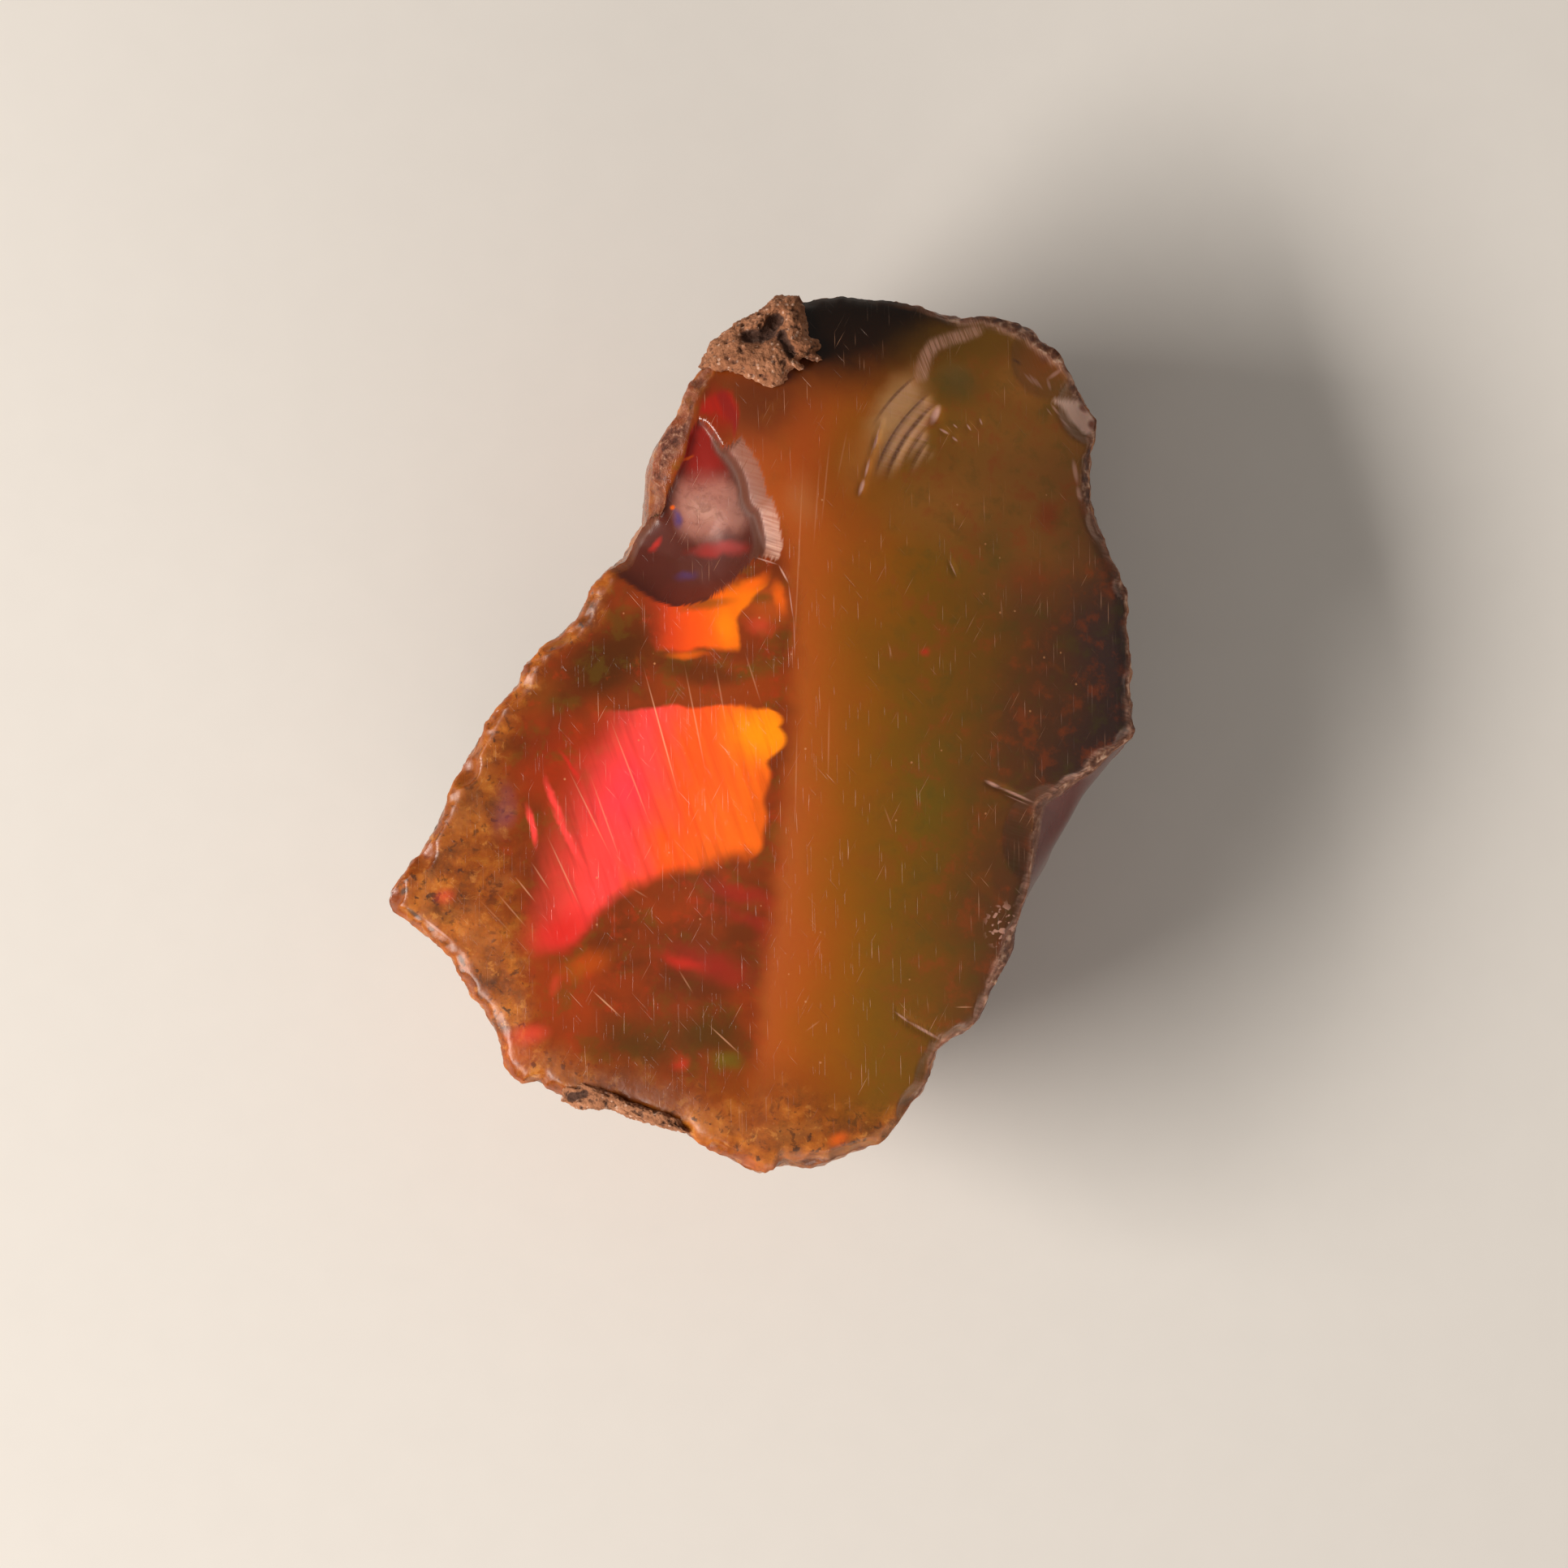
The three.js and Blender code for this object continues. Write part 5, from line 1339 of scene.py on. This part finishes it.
def host_rock_material():
    """Weathered rhyolite ash rock, the porous host of the opal.

    Never worked: matte, crumbly, pinkish tan, with pores and dark mineral grains 0.05 to 0.2 mm wide.
    """
    material, tree, point = start_material("weathered rhyolite ash rock")
    hollow = add_node(tree, "ShaderNodeAttribute", out="Fac", attribute_name="hollow")
    blotch = add_node(tree, "ShaderNodeTexNoise", {
        "Vector": point, "Scale": 1.6, "Detail": 6.0, "Roughness": 0.7})
    colour = add_node(tree, "ShaderNodeValToRGB", {0: blotch}, stops=[
        (0.3, "7d4a30"), (0.72, "bd8a6c"), (0.44, "96603f"), (0.58, "aa7250")])
    grains = add_node(tree, "ShaderNodeTexVoronoi", {"Vector": point, "Scale": 8.0}).node.outputs
    tone = add_node(tree, "ShaderNodeSeparateColor", {0: grains["Color"]})
    fine = add_node(tree, "ShaderNodeTexNoise", {"Vector": point, "Scale": 13.0, "Detail": 4.0})
    shares = {
        name: add_node(tree, "ShaderNodeMapRange", {
            "Value": value, "From Min": low, "From Max": high, "To Max": most},
            interpolation_type="SMOOTHSTEP")
        for name, value, low, high, most in (
            ("grain", grains["Distance"], 0.45, 0.2, 1.0), ("dark", tone, 0.86, 0.9, 0.75),
            ("pale", tone, 0.34, 0.26, 0.6), ("pore", fine, 0.58, 0.68, 0.5),
            ("hollow", hollow, 0.1, 0.9, 0.85))}
    for name in ("dark", "pale"):
        shares[name] = add_node(tree, "ShaderNodeMath", {0: shares[name], 1: shares["grain"]},
                                operation="MULTIPLY")
    # The hollow share darkens the cavities and sunken pores with painted shade
    colour = paint(tree, point, colour, (shares["pore"], "5c3624"), (shares["dark"], "3c251a"),
                   (shares["pale"], "dcb49c"), (shares["hollow"], "35201a"))
    bump = add_node(tree, "ShaderNodeBump", {"Height": fine, "Strength": 0.9, "Distance": 0.00006})
    rough = add_node(tree, "ShaderNodeMapRange", {"Value": fine, "To Min": 0.86, "To Max": 1.0})
    shader = add_node(tree, "ShaderNodeBsdfPrincipled", {
        "Base Color": colour, "Roughness": rough, "IOR": 1.5, "Normal": bump})
    add_node(tree, "ShaderNodeOutputMaterial", {"Surface": shader})
    return material


def table_material(colour):
    """Matte card, rolled smooth: a pale sheet with a barely visible tooth."""
    material, tree, point = start_material("matte pale card")
    tooth = add_node(tree, "ShaderNodeTexNoise", {"Vector": point, "Scale": 0.9, "Detail": 2.0})
    shaded = tuple(part * 0.97 for part in colour[:3]) + (1.0,)
    tint = paint(tree, point, shaded, (tooth, tuple(colour)))
    shader = add_node(tree, "ShaderNodeBsdfPrincipled", {"Base Color": tint, "Roughness": 0.9})
    add_node(tree, "ShaderNodeOutputMaterial", {"Surface": shader})
    return material


# Settings, operators and panel


class OpalSettings(bpy.types.PropertyGroup):
    """Sizes and finish of the opal."""

    relief: bpy.props.FloatProperty(
        name="Skin relief", description="How strongly the natural skin's lumps stand out, 1 as on the stone",
        default=1.0, min=0.0, max=2.0, subtype="FACTOR")
    gloss: bpy.props.FloatProperty(
        name="Gloss roughness", description="Roughness of the clear, glassy break",
        default=0.13, min=0.02, max=1.0, subtype="FACTOR")
    glow: bpy.props.FloatProperty(
        name="Glow", description="Share of the light that spreads inside the stone",
        default=0.25, min=0.0, max=1.0, subtype="FACTOR")


class HostRockSettings(bpy.types.PropertyGroup):
    """Relief of the host rock."""

    relief: bpy.props.FloatProperty(
        name="Rock relief", description="How strongly the pores and crumbs stand out, 1 as on the stone",
        default=1.0, min=0.0, max=2.0, subtype="FACTOR")


class StageSettings(bpy.types.PropertyGroup):
    """The table, the light and the camera."""

    table_colour: bpy.props.FloatVectorProperty(
        name="Table colour", description="Colour of the card that the stone lies on", size=4, subtype="COLOR",
        default=linear("dcd9d4"), min=0.0, max=1.0)
    table_size: bpy.props.FloatProperty(
        name="Table size", description="Length of each side of the card", default=3.0, unit="LENGTH")
    camera_height: bpy.props.FloatProperty(
        name="Camera height", description="Height of the camera over the table",
        default=0.3426, unit="LENGTH")
    lens: bpy.props.FloatProperty(
        name="Lens", description="Focal length of the camera", default=300.0, unit="CAMERA")
    air_light: bpy.props.FloatProperty(
        name="Light of the room", description="Brightness of the even light all round", default=0.21, min=0.0)


HOST_ROCKS = [
    {
        "name": "host_rock_cap_stone", "node": "host_rock_cap", "above": 0.5, "below": 2.0, "seed": 3.7,
        "outline": [
            (-1.62, 9.42), (-1.3, 9.28), (-1.0, 9.24), (-0.6, 9.2), (-0.3, 9.05), (-0.08, 8.95), (0.12, 8.88),
            (0.34, 8.87), (0.54, 8.93), (0.68, 9.06), (0.72, 9.26), (0.84, 9.33), (1.0, 9.24), (1.12, 9.3),
            (1.1, 9.44), (0.98, 9.54), (1.08, 9.64), (1.24, 9.58), (1.4, 9.5), (1.57, 9.56), (1.58, 9.68),
            (1.42, 9.77), (1.52, 9.9), (1.4, 10.12), (1.2, 10.18), (1.17, 10.73), (0.94, 11.27),
            (0.35, 11.27), (-0.21, 10.83), (-0.73, 10.54), (-1.33, 10.02),
        ],
        "cavities": [
            ([(-0.38, 10.18), (0.0, 10.2), (0.22, 10.34), (0.34, 10.6)], 0.19, 0.36),
            ([(0.5, 10.22), (0.62, 9.95), (0.72, 9.72)], 0.15, 0.18),
        ],
    },
    {
        "name": "host_rock_seam_stone", "node": "host_rock_seam", "above": 0.3, "below": 0.9, "seed": 8.1,
        "outline": [
            (-5.15, -9.4), (-4.79, -9.6), (-3.83, -9.62), (-3.38, -9.83), (-2.52, -10.1), (-1.9, -10.19),
            (-2.02, -9.85), (-2.52, -9.65), (-3.02, -9.52), (-3.52, -9.35), (-3.94, -9.1), (-4.65, -8.92),
            (-5.1, -9.06),
        ],
        "cavities": [([(-4.9, -9.3), (-4.55, -9.2)], 0.12, 0.16)],
    },
]

# Soft boxes: name, compass turn and tilt off the vertical in degrees, distance, width, height, power in watts
SOFT_BOXES = [
    ("key from the left", 192, 54, 0.25, 0.19, 0.085, 0.9),
    ("low fill from the near side", 285, 77, 0.3, 0.34, 0.1, 0.5),
]
AIM = Vector((0.56 * MM, -1.27 * MM, 7.2 * MM))


class OPAL_OT_stone(bpy.types.Operator):
    """Builds the opal over its solid"""

    bl_idname = "opal.stone"
    bl_label = "Build the opal"

    def execute(self, context):
        settings = context.scene.opal_settings
        stone = build_opal(settings.relief)
        stone.data.materials.append(opal_material(settings))
        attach(stone, "root")
        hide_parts("opal_body")
        return {"FINISHED"}


class OPAL_OT_host_rock(bpy.types.Operator):
    """Builds the two remnants of host rock over their solids"""

    bl_idname = "opal.host_rock"
    bl_label = "Build the host rock"

    def execute(self, context):
        material = host_rock_material()
        for row in HOST_ROCKS:
            shape = [row[part] for part in ("name", "outline", "above", "below", "cavities", "seed")]
            rock = build_rock(*shape, context.scene.host_rock_settings.relief)
            rock.data.materials.append(material)
            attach(rock, "root")
            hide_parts(row["node"])
        return {"FINISHED"}


class OPAL_OT_stage(bpy.types.Operator):
    """Sets out the table, the soft light and the camera"""

    bl_idname = "opal.stage"
    bl_label = "Set the stage"

    def execute(self, context):
        settings = context.scene.stage_settings
        half = settings.table_size / 2
        corners = [(-half, -half, 0), (half, -half, 0), (half, half, 0), (-half, half, 0)]
        mesh = bpy.data.meshes.new("table")
        mesh.from_pydata(corners, [], [(0, 1, 2, 3)])
        table = bpy.data.objects.new("table", mesh)
        table.data.materials.append(table_material(settings.table_colour))
        context.scene.collection.objects.link(table)
        for name, turn, tilt, distance, width, height, power in SOFT_BOXES:
            lamp = bpy.data.lights.new(name, "AREA")
            lamp.shape = "RECTANGLE"
            lamp.size = width
            lamp.size_y = height
            lamp.energy = power
            lamp.color = linear("fff7ef")[:3]
            box = bpy.data.objects.new(name, lamp)
            away = Vector((math.cos(math.radians(turn)) * math.sin(math.radians(tilt)),
                           math.sin(math.radians(turn)) * math.sin(math.radians(tilt)),
                           math.cos(math.radians(tilt))))
            box.location = AIM + away * distance
            box.rotation_euler = away.to_track_quat("Z", "Y").to_euler()
            context.scene.collection.objects.link(box)
        world = bpy.data.worlds.new("even room light")
        world.use_nodes = True
        sky = world.node_tree.nodes["Background"]
        sky.inputs["Color"].default_value = linear("fff6ec")
        sky.inputs["Strength"].default_value = settings.air_light
        context.scene.world = world
        context.scene.view_settings.view_transform = "Standard"
        lens = bpy.data.cameras.new("camera over the stone")
        lens.lens = settings.lens
        lens.sensor_width = 36.0
        lens.clip_start = 0.01
        lens.clip_end = 20.0
        camera = bpy.data.objects.new("camera over the stone", lens)
        camera.location = (AIM.x, AIM.y, settings.camera_height)
        context.scene.collection.objects.link(camera)
        context.scene.camera = camera
        return {"FINISHED"}


class OPAL_PT_panel(bpy.types.Panel):
    """Settings and steps of the opal specimen"""

    bl_idname = "OPAL_PT_panel"
    bl_label = "Rough opal specimen"
    bl_space_type = "VIEW_3D"
    bl_region_type = "UI"
    bl_category = "Opal"

    def draw(self, context):
        for settings in (context.scene.opal_settings, context.scene.host_rock_settings,
                         context.scene.stage_settings):
            box = self.layout.box()
            for name in settings.__annotations__:
                box.prop(settings, name)
        for step in STEPS:
            self.layout.operator(step.bl_idname)


STEPS = (OPAL_OT_stage, OPAL_OT_stone, OPAL_OT_host_rock)
SETTINGS = {
    "opal_settings": OpalSettings, "host_rock_settings": HostRockSettings, "stage_settings": StageSettings,
}
CLASSES = (*SETTINGS.values(), *STEPS, OPAL_PT_panel)


def register():
    """Adds the classes and the scene's settings to Blender."""
    for kind in CLASSES:
        bpy.utils.register_class(kind)
    for name, kind in SETTINGS.items():
        setattr(bpy.types.Scene, name, bpy.props.PointerProperty(type=kind))


def unregister():
    """Takes the settings and the classes out of Blender again."""
    for name in SETTINGS:
        delattr(bpy.types.Scene, name)
    for kind in reversed(CLASSES):
        bpy.utils.unregister_class(kind)


def main():
    """Builds everything in order."""
    register()
    bpy.ops.opal.stage()
    bpy.ops.opal.stone()
    bpy.ops.opal.host_rock()


if __name__ == "__main__":
    main()
